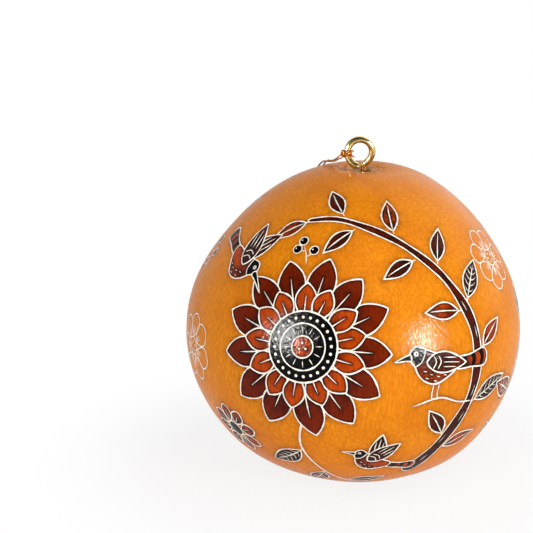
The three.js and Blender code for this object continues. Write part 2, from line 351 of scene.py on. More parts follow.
def knot_lines():
    """The knot's strands about the wire, which runs down their z axis, with the lump at -x."""
    snug = WIRE / 2 + THREAD / 2 + WINDING_GAP
    around = np.linspace(math.pi, math.pi + KNOT_TURNS * math.tau, TURN_STEPS * KNOT_TURNS)
    drop = np.linspace(0.5, -0.5, len(around)) * KNOT_TURNS * TURN_PITCH
    winding = np.stack([snug * np.cos(around), snug * np.sin(around), drop], axis=1)
    top, bottom = winding[0], winding[-1]
    crossing = [(-1.05, -0.35, 0.75), (-0.7, -1.0, 0.55), (-0.05, -1.3, 0.05),
                (0.65, -1.1, -0.5), (0.95, -0.66, -0.84)]
    upper = [top, (-1.18, 0.28, 0.42), (-1.34, 0.3, -0.12), (-1.28, -0.12, -0.45),
             (-1.12, -0.38, -0.2), (-1.18, -0.32, 0.28), (-1.32, 0.0, 0.3), (-1.4, 0.08, 0.0)]
    lower = [bottom, (-1.16, -0.3, -0.4), (-1.3, -0.36, 0.06), (-1.3, 0.1, 0.44),
             (-1.12, 0.4, 0.22), (-1.22, 0.34, -0.28), (-1.32, 0.02, -0.5), (-1.4, 0.0, -0.8)]
    tails = [[(0.85, -0.45, 0.42), (1.25, -0.64, 0.5), (1.7, -0.7, 0.62)],
             [(0.87, -0.5, -0.4), (1.3, -0.68, -0.5), (1.75, -0.72, -0.66)]]
    return [winding] + [smooth_line(line, STRAND_STEP) for line in (crossing, upper, lower, *tails)]


def frayed_ends(tails):
    """Loose fibres that spread from the cut end of each tail."""
    fibres = []
    for tail in tails:
        onwards = (tail[-1] - tail[-6]) / np.linalg.norm(tail[-1] - tail[-6])
        aside = np.cross(onwards, (0, 1, 0))
        for spread in FIBRE_SPREADS:
            tip = tail[-1] + onwards * (FIBRE_LENGTH - 0.15 * abs(spread)) + aside * spread * 0.4
            curl = tail[-1] + onwards * FIBRE_LENGTH / 2 + np.array([0, spread * 0.2, 0])
            fibres.append(smooth_line([tail[-4], tail[-1], curl, tip], FIBRE_STEP))
    return fibres


knot_centre = eye_point(KNOT_ANGLE)
wire_direction = Vector(eye_point(KNOT_ANGLE + 0.5) - eye_point(KNOT_ANGLE - 0.5))
knot_turned = (Vector((0, 0, -1)).rotation_difference(wire_direction).to_matrix()
               @ Matrix.Rotation(math.radians(KNOT_SWING), 3, "Z"))
strands = knot_lines()
fibres = frayed_ends(strands[-2:])
knot_parts = []
for lines, thickness in ((strands, THREAD), (fibres, FIBRE)):
    placed = [line @ np.array(knot_turned).T + knot_centre for line in lines]
    sizes = THREAD_SIZES | {"Thickness": thickness * MM}
    knot_parts.append(finished(line_object("knot_line", placed), twisted_thread, sizes, "thread_knot"))
with bpy.context.temp_override(active_object=knot_parts[0], selected_editable_objects=knot_parts):
    bpy.ops.object.join()
knot = knot_parts[0]
knot.name = "thread_knot"
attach(knot, "hanger")
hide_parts("hanger_knot")
cord_path = [[c * MM for c in point] for point in smooth_line(LOOP_ROUTE, ROUTE_STEP)]
[c * MM for c in LOOP_ROUTE[0]]


# Screw eye. One piece of brass wire, bent to a nearly round eye that leans to the left of its shank
# and ends in front of it, and rolled with a coarse thread to a gimlet point in the stem scar.
BEND_DEPTH = 1.0
BEND_SOFTNESS = 0.42
GIMLET_LENGTH = 3.0
GIMLET_CURVE = 0.7
GIMLET_TIP = 0.05
THREAD_PITCH = 1.15
RIDGE_HEIGHT = 0.22
RIDGE_SHARPNESS = 3.0
RIDGE_RISE = (0.5, 2.0)
RIDGE_FALL = (0.0, 0.6)
THREADED_LENGTH = 9.2
CUT_BEVEL = 0.14
BEVEL_DEPTH = 0.16
WIRE_SIDES = 28
SHANK_STEPS = 101
BEND_STEPS = 19
EYE_STEPS = 166
CREASE = math.radians(50)
BRASS_BRIGHT = (0.72, 0.56, 0.25, 1)
BRASS_DULL = (0.62, 0.46, 0.17, 1)
BRASS_LINE = (0.24, 0.19, 0.07, 1)


def wire_line():
    """The middle of the wire from its gimlet point up the shank, round the bend and the eye."""
    foot = shank_top - [0, 0, BEND_DEPTH]
    joint = eye_point(EYE_START)
    leave = eye_point(EYE_START + 0.5) - joint
    reach = np.linalg.norm(joint - foot) * BEND_SOFTNESS
    ends = [foot, foot + [0, 0, reach], joint - leave / np.linalg.norm(leave) * reach, joint]
    t = np.linspace(0, 1, BEND_STEPS, endpoint=False)[:, None]
    bend = (ends[0] * (1 - t) ** 3 + 3 * ends[1] * t * (1 - t) ** 2
            + 3 * ends[2] * t ** 2 * (1 - t) + ends[3] * t ** 3)
    shank = np.linspace(shank_top - [0, 0, SHANK_LENGTH], foot, SHANK_STEPS, endpoint=False)
    ring = eye_point(np.linspace(EYE_START, EYE_END, EYE_STEPS))
    return np.vstack([shank, bend, ring])


def named_value(tree, name):
    """Reads a value that was stored on the points under a name."""
    return add(tree, "GeometryNodeInputNamedAttribute", {"data_type": "FLOAT"}, Name=name)


def with_value(tree, geometry, name, value):
    """Stores a value on the points of a geometry under a name."""
    return add(tree, "GeometryNodeStoreNamedAttribute", {"data_type": "FLOAT", "domain": "POINT"},
               Geometry=geometry, Name=name, Value=value)


def screw_eye_tree():
    """Follows the wire with a round section, tapers its point and rolls a ridge along the shank."""
    tree, given, end = new_tree("screw eye", ["Wire", "Gimlet", "Pitch", "Ridge", "Threaded", "Bevel"])
    line = add(tree, "GeometryNodeMeshToCurve", Mesh=given["Geometry"])
    walked = add(tree, "GeometryNodeSplineParameter", output="Length")
    left = calc(tree, "SUBTRACT", add(tree, "GeometryNodeSplineLength"), walked)
    point = calc(tree, "POWER", calc(tree, "DIVIDE", walked, given["Gimlet"]), GIMLET_CURVE)
    bevel = calc(tree, "MINIMUM", calc(tree, "DIVIDE", left, given["Bevel"]), 1.0)
    bevel = calc(tree, "MULTIPLY_ADD", calc(tree, "SQRT", bevel), BEVEL_DEPTH, 1.0 - BEVEL_DEPTH)
    taper = calc(tree, "MAXIMUM", product(tree, calc(tree, "MINIMUM", point, 1.0), bevel), GIMLET_TIP)
    line = add(tree, "GeometryNodeSetCurveRadius", Curve=line, Radius=taper)
    line = with_value(tree, line, "walked", walked)
    section = add(tree, "GeometryNodeCurvePrimitiveCircle", Resolution=WIRE_SIDES,
                  Radius=product(tree, given["Wire"], 0.5))
    share = add(tree, "GeometryNodeSplineParameter", output="Factor")
    section = with_value(tree, section, "turned", share)
    rod = add(tree, "GeometryNodeCurveToMesh", Curve=line, Profile_Curve=section,
              Scale=taper, Fill_Caps=True)
    reached = named_value(tree, "walked")
    turns = calc(tree, "DIVIDE", reached, given["Pitch"])
    phase = calc(tree, "ADD", named_value(tree, "turned"), turns)
    wave = calc(tree, "COSINE", product(tree, phase, math.tau))
    crest = calc(tree, "POWER", calc(tree, "MULTIPLY_ADD", wave, 0.5, 0.5), RIDGE_SHARPNESS)
    turns_left = calc(tree, "DIVIDE", calc(tree, "SUBTRACT", given["Threaded"], reached), given["Pitch"])
    begins, stops = ranged(tree, turns, *RIDGE_RISE), ranged(tree, turns_left, *RIDGE_FALL)
    raised = add(tree, "ShaderNodeVectorMath", {"operation": "SCALE"},
                 Vector=add(tree, "GeometryNodeInputNormal"),
                 Scale=product(tree, crest, begins, stops, given["Ridge"]))
    rod = add(tree, "GeometryNodeSetPosition", Geometry=rod, Offset=raised)
    close_tree(tree, end, rod, brass_finish)
    return tree


def hypotenuse(tree, first, second):
    """The long side over two sides that stand square to each other."""
    squares = [calc(tree, "POWER", side, 2.0) for side in (first, second)]
    return calc(tree, "SQRT", calc(tree, "ADD", *squares))


def brass_material():
    """Tumbled and lacquered brass wire with faint drawing lines and a few duller patches."""
    material, tree, surface = new_material("polished brass", 0.14, Metallic=1.0)
    place = object_place(tree)
    patch = ranged(tree, speckle(tree, place, 0.5), 0.35, 0.7)
    axis = add_node(tree, "ShaderNodeSeparateXYZ", i0=place).outputs
    aside = calc(tree, "SUBTRACT", axis["X"], float(eye_middle))
    over = calc(tree, "SUBTRACT", axis["Z"], float(shank_top[2] + EYE_CENTRE))
    across_wire = add(tree, "ShaderNodeCombineXYZ", X=hypotenuse(tree, aside, over), Y=axis["Y"])
    lines = speckle(tree, across_wire, 2.6)
    colour = layered(tree, BRASS_BRIGHT, (patch, BRASS_DULL),
                     (ranged(tree, lines, 0.50, 0.62, 0, 0.7), BRASS_LINE))
    finish_surface(tree, surface, colour, lines, 0.02)
    tree.links.new(ranged(tree, patch, 0, 1, 0.16, 0.22), surface.inputs["Roughness"])
    return material


brass_finish = brass_material()
screw_eye = finished(line_object("wire_line", [wire_line()]), screw_eye_tree(), {
    "Wire": WIRE * MM, "Gimlet": GIMLET_LENGTH * MM, "Pitch": THREAD_PITCH * MM,
    "Ridge": RIDGE_HEIGHT * MM, "Threaded": THREADED_LENGTH * MM, "Bevel": CUT_BEVEL * MM,
}, "brass_screw_eye")
screw_eye.data.shade_smooth()
screw_eye.data.set_sharp_from_angle(angle=CREASE)
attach(screw_eye, "gourd")
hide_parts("screw_eye")


# Gourd shell. A small round gourd, dried hard and hollow, its skin scraped smooth and dyed golden. The
# drawing is burnt in and filled with dyes, then cut through to the pale wood with a gouge, and the
# whole is varnished. The stem scar and the foot stay plain.
GOURD_WIDTH = 76.4
GOURD_HEIGHT = 71.5
FOOT_WIDTH = 12.0
WALL = 3.2
STEM_LEAN = 0.8
BELLY_LEAN = 1.5
DIMPLE_DEPTH = 1.5
DIMPLE_RADIUS = 5.5
PLUG_DEPTH = 6.4
PLUG_RADIUS = 8.0
FULLNESS = (1, -0.0122, -0.0294, 0.0286, -0.0015, 0.0066, -0.0054)
MOUTH_RADIUS = 1.2
MOUTH_DEPTH = 1.6
HOLE_RADIUS = 1.05
HOLE_SIDES = 48
FOOT_SIDES = 120
CAVITY_RINGS = 26
SKIN_RADIUS = 37.0
SKIN_SPACING = 1.35
SCAR_SPACING = 0.42
SCAR_RADIUS = 7.5
SLOPE_STEP = 1e-3

survey = np.linspace(0, np.pi, 4001)


def unit_profile(angle):
    """The fruit's outline from the stem down, as radius and height in shares of its mean size."""
    reach = sum(share * np.cos(order * angle) for order, share in enumerate(FULLNESS))
    return reach * np.sin(angle), reach * np.cos(angle)


width_scale = GOURD_WIDTH / 2 / unit_profile(survey)[0].max()
beyond_foot = (survey > np.pi / 2) & (unit_profile(survey)[0] * width_scale < FOOT_WIDTH / 2)
foot_angle = survey[beyond_foot][0]
foot_height = unit_profile(foot_angle)[1]
height_scale = GOURD_HEIGHT / (unit_profile(0.0)[1] - foot_height)


def near_stem(angle, radius, reach, power):
    """Falls from 1 on the stem to about a third at its reach in mm, and is 0 on the lower half."""
    return np.where(angle < np.pi / 2, np.exp(-(radius / reach) ** power), 0)


def skin_profile(angle):
    """Radius and height of the skin in mm at an angle from the stem."""
    radius, height = unit_profile(angle)
    radius = radius * width_scale
    dimple = DIMPLE_DEPTH * near_stem(angle, radius, DIMPLE_RADIUS, 2)
    return radius, (height - foot_height) * height_scale - dimple


def skin_slope(angle):
    """How far the skin's outline goes across and up in a short step away from the stem."""
    ahead, behind = skin_profile(angle + SLOPE_STEP), skin_profile(angle - SLOPE_STEP)
    return ahead[0] - behind[0], ahead[1] - behind[1]


def cavity_profile(angle):
    """Radius and height of the cavity, which keeps clear of the corky plug under the stem."""
    across, up = skin_slope(angle)
    length = np.hypot(across, up)
    radius, height = skin_profile(angle)
    depth = WALL + (PLUG_DEPTH - WALL) * near_stem(angle, radius, PLUG_RADIUS, 4)
    return radius + up / length * depth, height - across / length * depth


def axis_shift(height):
    """How far the leaning fruit's axis has moved sideways at a height."""
    share = height / GOURD_HEIGHT
    return STEM_LEAN * share - 4 * BELLY_LEAN * share * (1 - share)


stem_axis = axis_shift(skin_profile(0.0)[1])


def on_fruit(directions, profile):
    """Points in mm of a leaning outline in these directions."""
    flat = np.maximum(np.hypot(directions[:, 0], directions[:, 1]), 1e-9)
    radius, height = profile(np.arccos(np.clip(directions[:, 2], -1, 1)))
    return np.stack([radius * directions[:, 0] / flat + axis_shift(height),
                     radius * directions[:, 1] / flat, height], axis=1)


def unit(vectors):
    """The same directions, each with a length of one."""
    return vectors / np.linalg.norm(vectors, axis=-1, keepdims=True)


def toward(azimuth, polar):
    """Directions by degrees round from the front, positive on the right, and degrees from the stem."""
    a, p = np.radians(azimuth), np.radians(polar)
    return np.stack([np.sin(a) * np.sin(p), -np.cos(a) * np.sin(p), np.cos(p) + 0 * a], axis=-1)


def spot(azimuth, polar, turn=0.0, size=1.0, mirrored=False):
    """Carries points drawn flat, in mm, to one place on the skin, turned anticlockwise."""
    a, p, t = np.radians((azimuth, polar, turn))
    east = np.array([np.cos(a), np.sin(a), 0])
    north = np.array([-np.sin(a) * np.cos(p), np.cos(a) * np.cos(p), np.sin(p)])

    def carry(points):
        u, v = np.asarray(points, float).reshape(-1, 2).T * size
        u = -u if mirrored else u
        u, v = u * np.cos(t) - v * np.sin(t), u * np.sin(t) + v * np.cos(t)
        away = np.hypot(u, v)[:, None] + 1e-9
        aside = (u[:, None] * east + v[:, None] * north) / away
        return np.cos(away / SKIN_RADIUS) * toward(azimuth, polar) + np.sin(away / SKIN_RADIUS) * aside
    return carry


CUT_WIDTH = 0.31
FINE_CUT = 0.24
CUT_DEPTH = 0.24
STATION = 0.5
SHARPEST_MITRE = 0.42
PRESSURE_CHANGE = (0.05, 0.16)
PRESSURE_WAVES = (0.7, 1.9, 4.3)
SHAKE = 0.17
THINNEST_END = 0.02
END_SHAPE = 0.6
CUT_MARGINS = ((0.38, 2), (1.05, 3))
HAND_SEED = 11

hand = np.random.default_rng(HAND_SEED)
drawing = []
mesh_lines = []
loose_points = []


def gouge(path, width=CUT_WIDTH, closed=False, thin_ends=(1.6, 2.4), burnt=1.0):
    """Cuts a groove along directions, a little shaky, with ends that thin out over so many mm.

    The mesh gets its sides and its middle as lines, and rows of points at each margin beside it.
    """
    ahead, behind = np.roll(path, -1, axis=0), np.roll(path, 1, axis=0)
    if not closed:
        ahead[-1], behind[0] = 2 * path[-1] - path[-2], 2 * path[0] - path[1]
    arriving, leaving = unit(np.cross(path, path - behind)), unit(np.cross(path, ahead - path))
    left = unit(arriving + leaving)
    left /= np.maximum((left * leaving).sum(axis=1, keepdims=True), SHARPEST_MITRE)
    steps = np.linalg.norm(path - behind, axis=1) * SKIN_RADIUS
    walked = np.cumsum(steps) - steps[0]
    pressure = 1 + sum(hand.uniform(*PRESSURE_CHANGE) * np.sin(walked * wave + hand.uniform(0, math.tau))
                       for wave in PRESSURE_WAVES)
    half = width / 2 * pressure * (1 + hand.uniform(-SHAKE, SHAKE, len(path)))
    if not closed:
        half *= np.clip(walked / thin_ends[0], THINNEST_END, 1) ** END_SHAPE
        half *= np.clip((walked[-1] - walked) / thin_ends[1], THINNEST_END, 1) ** END_SHAPE
    aside = left * half[:, None] / SKIN_RADIUS
    sides = [unit(path + aside), unit(path - aside)]
    loops = sides if closed else [np.vstack([sides[0], sides[1][::-1]])]
    mesh_lines.extend((loop, True) for loop in loops)
    mesh_lines.append((path if closed else path[1:-1], closed))
    for margin, every in CUT_MARGINS:
        for sign in (1, -1):
            beside = unit(path + sign * left * (half + margin)[:, None] / SKIN_RADIUS)
            loose_points.append(beside[::every])
    drawing.append({"kind": "cut", "loops": loops, "burnt": burnt})


def dye(outline, colour, bordered=True, base=None, reach=1.0):
    """Fills a closed outline. The dye is darkest at its base and lightens over its reach in mm.

    An outline that no cut follows goes into the mesh as a line of its own.
    """
    if not bordered:
        mesh_lines.append((outline, True))
    dark_end = outline[0] if base is None else base
    drawing.append({"kind": colour, "loops": [outline], "base": dark_end, "reach": reach})


def inked(outline, colour, width=CUT_WIDTH, base=None, reach=1.0):
    """A dyed shape with a cut all round it."""
    dye(outline, colour, True, base, reach)
    gouge(outline, width, closed=True)


def circle(radius, middle=(0, 0), sides=None):
    """A flat round outline."""
    count = sides or max(10, round(math.tau * radius / STATION))
    turn = np.linspace(0, math.tau, count, endpoint=False)
    return np.stack([middle[0] + radius * np.cos(turn), middle[1] + radius * np.sin(turn)], axis=1)


def dot(at, middle, radius):
    """A pale dot struck with a round punch."""
    outline = at(circle(radius, middle, sides=9))
    mesh_lines.append((outline, True))
    loose_points.append(at([middle]))
    drawing.append({"kind": "cut", "loops": [outline], "burnt": 0.5})


def turned(points, degrees, outwards=0.0):
    """Flat points moved up by a distance and then turned anticlockwise about the middle."""
    t = math.radians(degrees)
    u, v = np.asarray(points, float).reshape(-1, 2).T
    v = v + outwards
    return np.stack([u * math.cos(t) - v * math.sin(t), u * math.sin(t) + v * math.cos(t)], axis=1)


def spaced(count, radius):
    """Flat points at even distances round the middle."""
    return [turned([(0, radius)], 360 * k / count)[0] for k in range(count)]


def blade(length, width, bend, fullest, blunt):
    """The outline of a leaf or petal that grows up from the middle: pointed, or blunt below 1."""
    along = np.linspace(0, 1, max(8, round(length / STATION)))
    if blunt < 1:
        along = (1 - np.cos(along * np.pi)) / 2
    half = width / 2 * np.sin(np.pi * along ** (math.log(0.5) / math.log(fullest))).clip(0) ** blunt
    middle = bend * length * along ** 2
    left = np.stack([middle - half, along * length], axis=1)
    right = np.stack([middle + half, along * length], axis=1)
    return np.vstack([left, right[-2:0:-1]])


def rib(length, bend=0.0, start=0.0, end=1.0):
    """The midline of a blade between two shares of its length."""
    along = np.linspace(start, end, max(FEWEST_STOPS, round(length * (end - start) / STATION)))
    return np.stack([bend * length * along ** 2, along * length], axis=1)


def inked_blade(at, colour, length, width, bend=0.0, fullest=0.45, blunt=1.0, place=0.0, outwards=0.0):
    """A dyed leaf or petal that is darkest at its root, turned to a place round the middle."""
    shape = turned(blade(length, width, bend, fullest, blunt), place, outwards)
    root = turned([(0, 0)], place, outwards)
    inked(at(shape), colour, base=at(root)[0], reach=length)


VEINED_LENGTH = 8.8
VEIN_SPACING = 2.1


def leaf(at, colour, length, width, bend=0.0, place=0.0, outwards=0.0):
    """A leaf with a pale midrib, and with herringbone veins where it has room."""
    veins = round(length / VEIN_SPACING) if length > VEINED_LENGTH else 0
    inked_blade(at, colour, length, width, bend, place=place, outwards=outwards)
    gouge(at(turned(rib(length, bend, 0.02, 0.86), place, outwards)), FINE_CUT * 1.2)
    for k in range(veins):
        share = 0.14 + 0.58 * k / (veins - 1)
        root = np.array([bend * length * share ** 2, share * length])
        run = width * 0.37 * math.sin(math.pi * (share + 0.13))
        for side in (-1, 1):
            tip = root + [side * run, run * 0.95]
            middle = (root + tip) / 2 + [side * 0.12 * run, -0.08 * run]
            vein = smooth_line([root, middle, tip], STATION)
            gouge(at(turned(vein, place, outwards)), FINE_CUT * 0.85, thin_ends=(0.4, 1.4))


PETAL_TURNS = (-2, 2)
PETAL_LENGTHS = (0.94, 1.05)
PETAL_BENDS = (-0.05, 0.05)


def petals_round(count, length, start=0.0):
    """The place, the length and the bend of each petal round a flower, all a little uneven."""
    for k in range(count):
        place = start + 360 * k / count + hand.uniform(*PETAL_TURNS)
        yield place, length * hand.uniform(*PETAL_LENGTHS), hand.uniform(*PETAL_BENDS)


def ring_of_petals(at, count, inner, outer, width, colour, start=0.0, blunt=0.8):
    """Dyed petals with a rib each, side by side round a flower, each over the one before it."""
    for place, grown, bend in petals_round(count, outer - inner, start):
        inked_blade(at, colour, grown, width, bend, 0.55, blunt, place, inner)
        gouge(at(turned(rib(grown, bend, 0.10, 0.66), place, inner)), FINE_CUT, thin_ends=(0.5, 2.5))


def sunflower(at):
    """Two rows of petals round a black seed head with a beaded rim and a scored core."""
    ring_of_petals(at, 13, 7.0, 19.6, 6.6, "brown", start=13.8)
    ring_of_petals(at, 13, 5.6, 13.4, 4.8, "rust")
    inked(at(circle(7.5)), "black", CUT_WIDTH * 1.1, base=at([(0, 0)])[0], reach=7)
    for middle in spaced(24, 6.2):
        dot(at, middle, 0.33)
    gouge(at(circle(4.9)), closed=True)
    inked(at(circle(2.3)), "rust", FINE_CUT * 1.1)
    for k in range(12):
        gouge(at(turned(rib(1.4), k * 30, 2.9)), FINE_CUT * 0.9, thin_ends=(0.5, 0.8))
    for middle in spaced(3, 0.8):
        dot(at, middle, 0.24)


def daisy(at, colour, size, petals=8):
    """A small flower with short blunt petals round a black heart."""
    ring_of_petals(at, petals, size * 0.16, size * 0.5, size * 0.25, colour, blunt=0.7)
    inked(at(circle(size * 0.15)), "black", FINE_CUT * 1.2)


def outline_blossom(at, size, petals=7):
    """A flower in fine, hardly burnt lines alone on the bare skin."""
    for place, grown, bend in petals_round(petals, size * 0.36):
        petal = turned(blade(grown, size * 0.33, bend, 0.62, 0.62), place, size * 0.14)
        gouge(at(petal), FINE_CUT, closed=True, burnt=0.35)
    for k in range(petals):
        for side in (-5, 0, 5):
            strand = turned(rib(size * 0.16, side * 0.02), 360 * k / petals + side * 1.6, size * 0.15)
            gouge(at(strand), FINE_CUT * 0.7, thin_ends=(0.3, 1.2), burnt=0.2)
    gouge(at(circle(size * 0.13)), FINE_CUT, closed=True, burnt=0.35)
    for middle in spaced(5, size * 0.07):
        dot(at, middle, 0.26)


def trail(stops, step=STATION):
    """A smooth line over the skin through points given as azimuth and polar degrees."""
    return unit(smooth_line(toward(*np.array(stops, float).T) * SKIN_RADIUS, step))


def leaves_on(path, placed, thickness=0.0):
    """Leaves on a line over the skin: share of its length, side, splay, colour and length of each."""
    for share, side, splay, colour, length in placed:
        stop = round(share * (len(path) - 2))
        here, forwards = path[stop], path[stop + 1] - path[stop]
        azimuth, polar = math.atan2(here[0], -here[1]), math.acos(here[2])
        east = np.array([math.cos(azimuth), math.sin(azimuth), 0])
        heading = math.degrees(math.atan2(-forwards @ east, forwards @ np.cross(here, east)))
        at = spot(math.degrees(azimuth), math.degrees(polar), heading + side * splay)
        stalk = [(0, thickness / 2 + up) for up in (0, 0.5, 1.3)]
        gouge(at(stalk), FINE_CUT * 1.2, thin_ends=(0.1, 0.1), burnt=0.5)
        leaf(at, colour, length, length * 0.44, -side * 0.10, outwards=thickness / 2 + 0.9)


BRANCH_STATION = 0.7
BRANCH_KNOTS = ((0.12, 41), (0.08, 17))
BRANCH_REACH = 90


def branch(stops, thick, thin, placed):
    """A tapering brown branch with a knotty outline and leaves, closed round at both ends."""
    path = trail(stops, BRANCH_STATION)
    leaves_on(path, placed, thick)
    left = unit(np.cross(path, np.gradient(path, axis=0)))
    share = np.linspace(0, 1, len(path))
    knotty = sum((size * np.sin(share * waves) for size, waves in BRANCH_KNOTS), 1)
    half = (thick + (thin - thick) * share) / 2 * knotty
    half[[0, -1]] *= 0.5
    aside = left * half[:, None] / SKIN_RADIUS
    outline = np.vstack([unit(path + aside), unit(path - aside)[::-1]])
    inked(outline, "brown", CUT_WIDTH * 0.9, base=path[0], reach=BRANCH_REACH)
    for k in range(6, len(path) // 2, 9):
        scratch = unit(path[k:k + 5] + aside[k:k + 5] * hand.uniform(-0.3, 0.3))
        gouge(scratch, FINE_CUT * 0.6, thin_ends=(0.8, 1.4))


def vine(stops, placed, width=CUT_WIDTH):
    """A cut line with leaves."""
    path = trail(stops)
    gouge(path, width, thin_ends=(1.0, 4), burnt=0.7)
    leaves_on(path, placed)


BERRY_RADIUS = 1.05


def sprig(at, stalk, berries, colour):
    """A thin stalk with berries: share of its length, and how far aside and up each stands."""
    line = smooth_line(stalk, STATION)
    gouge(at(line), FINE_CUT * 1.1, burnt=0.5)
    for share, aside, up in berries:
        root = line[round(share * (len(line) - 1))]
        middle = root + np.array([aside, up])
        stem = smooth_line([root, (root + middle) / 2 + [0.1, -0.1], middle], STATION)
        gouge(at(stem), FINE_CUT, thin_ends=(0.2, 0.6), burnt=0.5)
        inked(at(circle(BERRY_RADIUS, middle)), colour, FINE_CUT, base=at([middle])[0], reach=BERRY_RADIUS)
        dot(at, middle + np.array([-0.3, 0.3]) * BERRY_RADIUS, 0.17)


BIRD_BODY = [(-5.6, 3.2), (-4.9, 4.2), (-3.8, 4.6), (-2.4, 3.8), (-0.5, 2.7), (2.0, 1.7), (4.8, 0.4),
             (4.2, -1.3), (1.6, -2.7), (-0.8, -3.3), (-3.0, -2.4), (-4.4, -0.5), (-4.9, 1.2), (-5.5, 2.2)]
BIRD_CAP = [(-5.6, 3.2), (-4.9, 4.2), (-3.8, 4.6), (-2.5, 3.85), (-2.75, 2.5), (-3.6, 1.4), (-4.9, 0.9),
            (-5.1, 1.6), (-5.5, 2.2)]
BIRD_COLLAR = [(-2.2, 3.75), (-2.7, 2.5), (-3.5, 1.35), (-4.9, 0.8)]
BIRD_TAIL = [(4.0, 0.3), (7.5, 0.2), (11.4, 0.2), (12.0, -1.2), (11.2, -3.0), (7.4, -2.3), (3.9, -1.5)]
BIRD_EYE = (-4.25, 3.25)
TAIL_BANDS = (5.7, 8.0, 10.2)
BREAST_TICKS = [(-3.2, -0.2), (-2.0, -1.1), (-0.6, -1.8), (-3.0, -1.6), (-1.3, -2.5), (0.9, -1.9)]


def wing(at, length, width, place, root):
    """One wing with long feathers scored from its tip and scales near its root."""
    def set_on(points):
        return at(turned(points, place) + np.array(root))
    inked_blade(set_on, "brown", length, width, 0.06, 0.40, 0.85)
    for k in (-1, 0, 1):
        feather = rib(length, 0.06, 0.40, 0.84 - 0.10 * abs(k)) + [k * width * 0.22, 0]
        gouge(set_on(feather), FINE_CUT * 0.95, thin_ends=(1.0, 1.2))
    for k in (0.15, 0.27):
        arc = [(-width * 0.30, k * length), (0, (k + 0.07) * length), (width * 0.34, k * length)]
        gouge(set_on(smooth_line(arc, 0.4)), FINE_CUT * 0.95, thin_ends=(0.5, 0.5))


def bird(at, wings, beak=3.0):
    """A small bird that faces left: banded tail, dyed body, black cap, and one or two wings."""
    tail, body, cap = (smooth_line(points, STATION, closed=True)
                       for points in (BIRD_TAIL, BIRD_BODY, BIRD_CAP))
    dye(at(tail), "rust", base=at([(4, -1)])[0], reach=10)
    for middle in TAIL_BANDS:
        top, low = 0.35, -1.35 - (middle - 4) * 0.20
        band = [(middle - 0.5, top), (middle + 0.5, top), (middle + 0.95, (top + low) / 2),
                (middle + 0.45, low), (middle - 0.5, low), (middle - 0.05, (top + low) / 2)]
        dye(at(smooth_line(band, STATION, closed=True)), "black", bordered=False)
    gouge(at(tail), closed=True)
    for behind in wings[:-1]:
        wing(at, *behind)
    dye(at(body), "rust", base=at([(-4, 2)])[0], reach=10)
    dye(at(cap), "black", bordered=False)
    gouge(at(body), closed=True)
    gouge(at(smooth_line(BIRD_COLLAR, STATION)), FINE_CUT, thin_ends=(0.2, 0.2))
    for u, v in BREAST_TICKS:
        gouge(at([(u, v), (u + 0.35, v - 0.22), (u + 0.75, v - 0.34)]), FINE_CUT * 0.85, thin_ends=(0.3, 0.5))
    bill = [(-5.35, 3.3), (-5.5 - beak * 0.45, 3.05), (-5.5 - beak, 2.45), (-5.5 - beak * 0.4, 2.35),
            (-5.3, 2.2)]
    inked(at(smooth_line(bill, 0.4, closed=True)), "black", FINE_CUT)
    dot(at, BIRD_EYE, 0.46)
    dye(at(circle(0.2, BIRD_EYE, sides=7)), "black", bordered=False)
    wing(at, *wings[-1])


PERCHED = [(8.8, 4.0, -101, (-2.3, 1.2))]
FLYING = [(9.8, 4.4, 6, (0.4, 1.2)), (10.2, 4.6, -38, (-1.4, 0.6))]


def tulip(at):
    """A large open red tulip: two outer petals behind an inner one, on black sepals."""
    for side in (-1, 1):
        inked_blade(at, "red", 17, 8.0, side * 0.16, 0.5, 0.9, -side * 26)
        for k in (-1, 0, 1):
            stroke = rib(17, side * 0.16 + k * 0.06, 0.2, 0.84 - 0.08 * abs(k))
            gouge(at(turned(stroke, -side * 26)), FINE_CUT)
    inked_blade(at, "red", 16, 10.5, blunt=0.8)
    for k in (-2, -1, 0, 1, 2):
        stroke = rib(16, k * 0.09, 0.22, 0.88 - 0.07 * abs(k)) + [k * 0.5, 0]
        gouge(at(stroke), FINE_CUT * 1.1, thin_ends=(0.8, 2.6))
    for side in (-1, 1):
        for k in range(5):
            dot(at, (side * (7.4 - 0.25 * k ** 1.5), 8.6 + 1.6 * k), 0.42)
        leaf(at, "black", 8.2, 3.0, side * -0.10, place=-side * 58)
    leaf(at, "black", 6.0, 2.8)


def bud(at):
    """A striped rust-coloured bud on a short stalk."""
    gouge(at([(0, -v) for v in np.arange(0, 4.2, STATION)]), FINE_CUT * 1.2, thin_ends=(0.3, 1.6), burnt=0.6)
    inked_blade(at, "rust", 8.4, 5.2, 0.03, 0.42, 0.75)
    for k in range(3):
        low = 2.6 + 1.75 * k
        reach = 2.55 * math.sin(math.pi * (low + 0.5) / 8.9)
        band = [(-reach, low), (0, low - 0.55), (reach, low), (reach * 0.9, low + 0.95), (0, low + 0.35),
                (-reach * 0.9, low + 0.95)]
        dye(at(smooth_line(band, 0.4, closed=True) * [0.9, 1]), "black", bordered=False)
    for side in (-1, 1):
        leaf(at, "brown", 4.6, 2.0, side * 0.12, place=-side * 42)


THREE_BERRIES = [(0.35, 1.9, 1.2), (0.7, -1.8, 1.2), (1, 0, 1.4)]


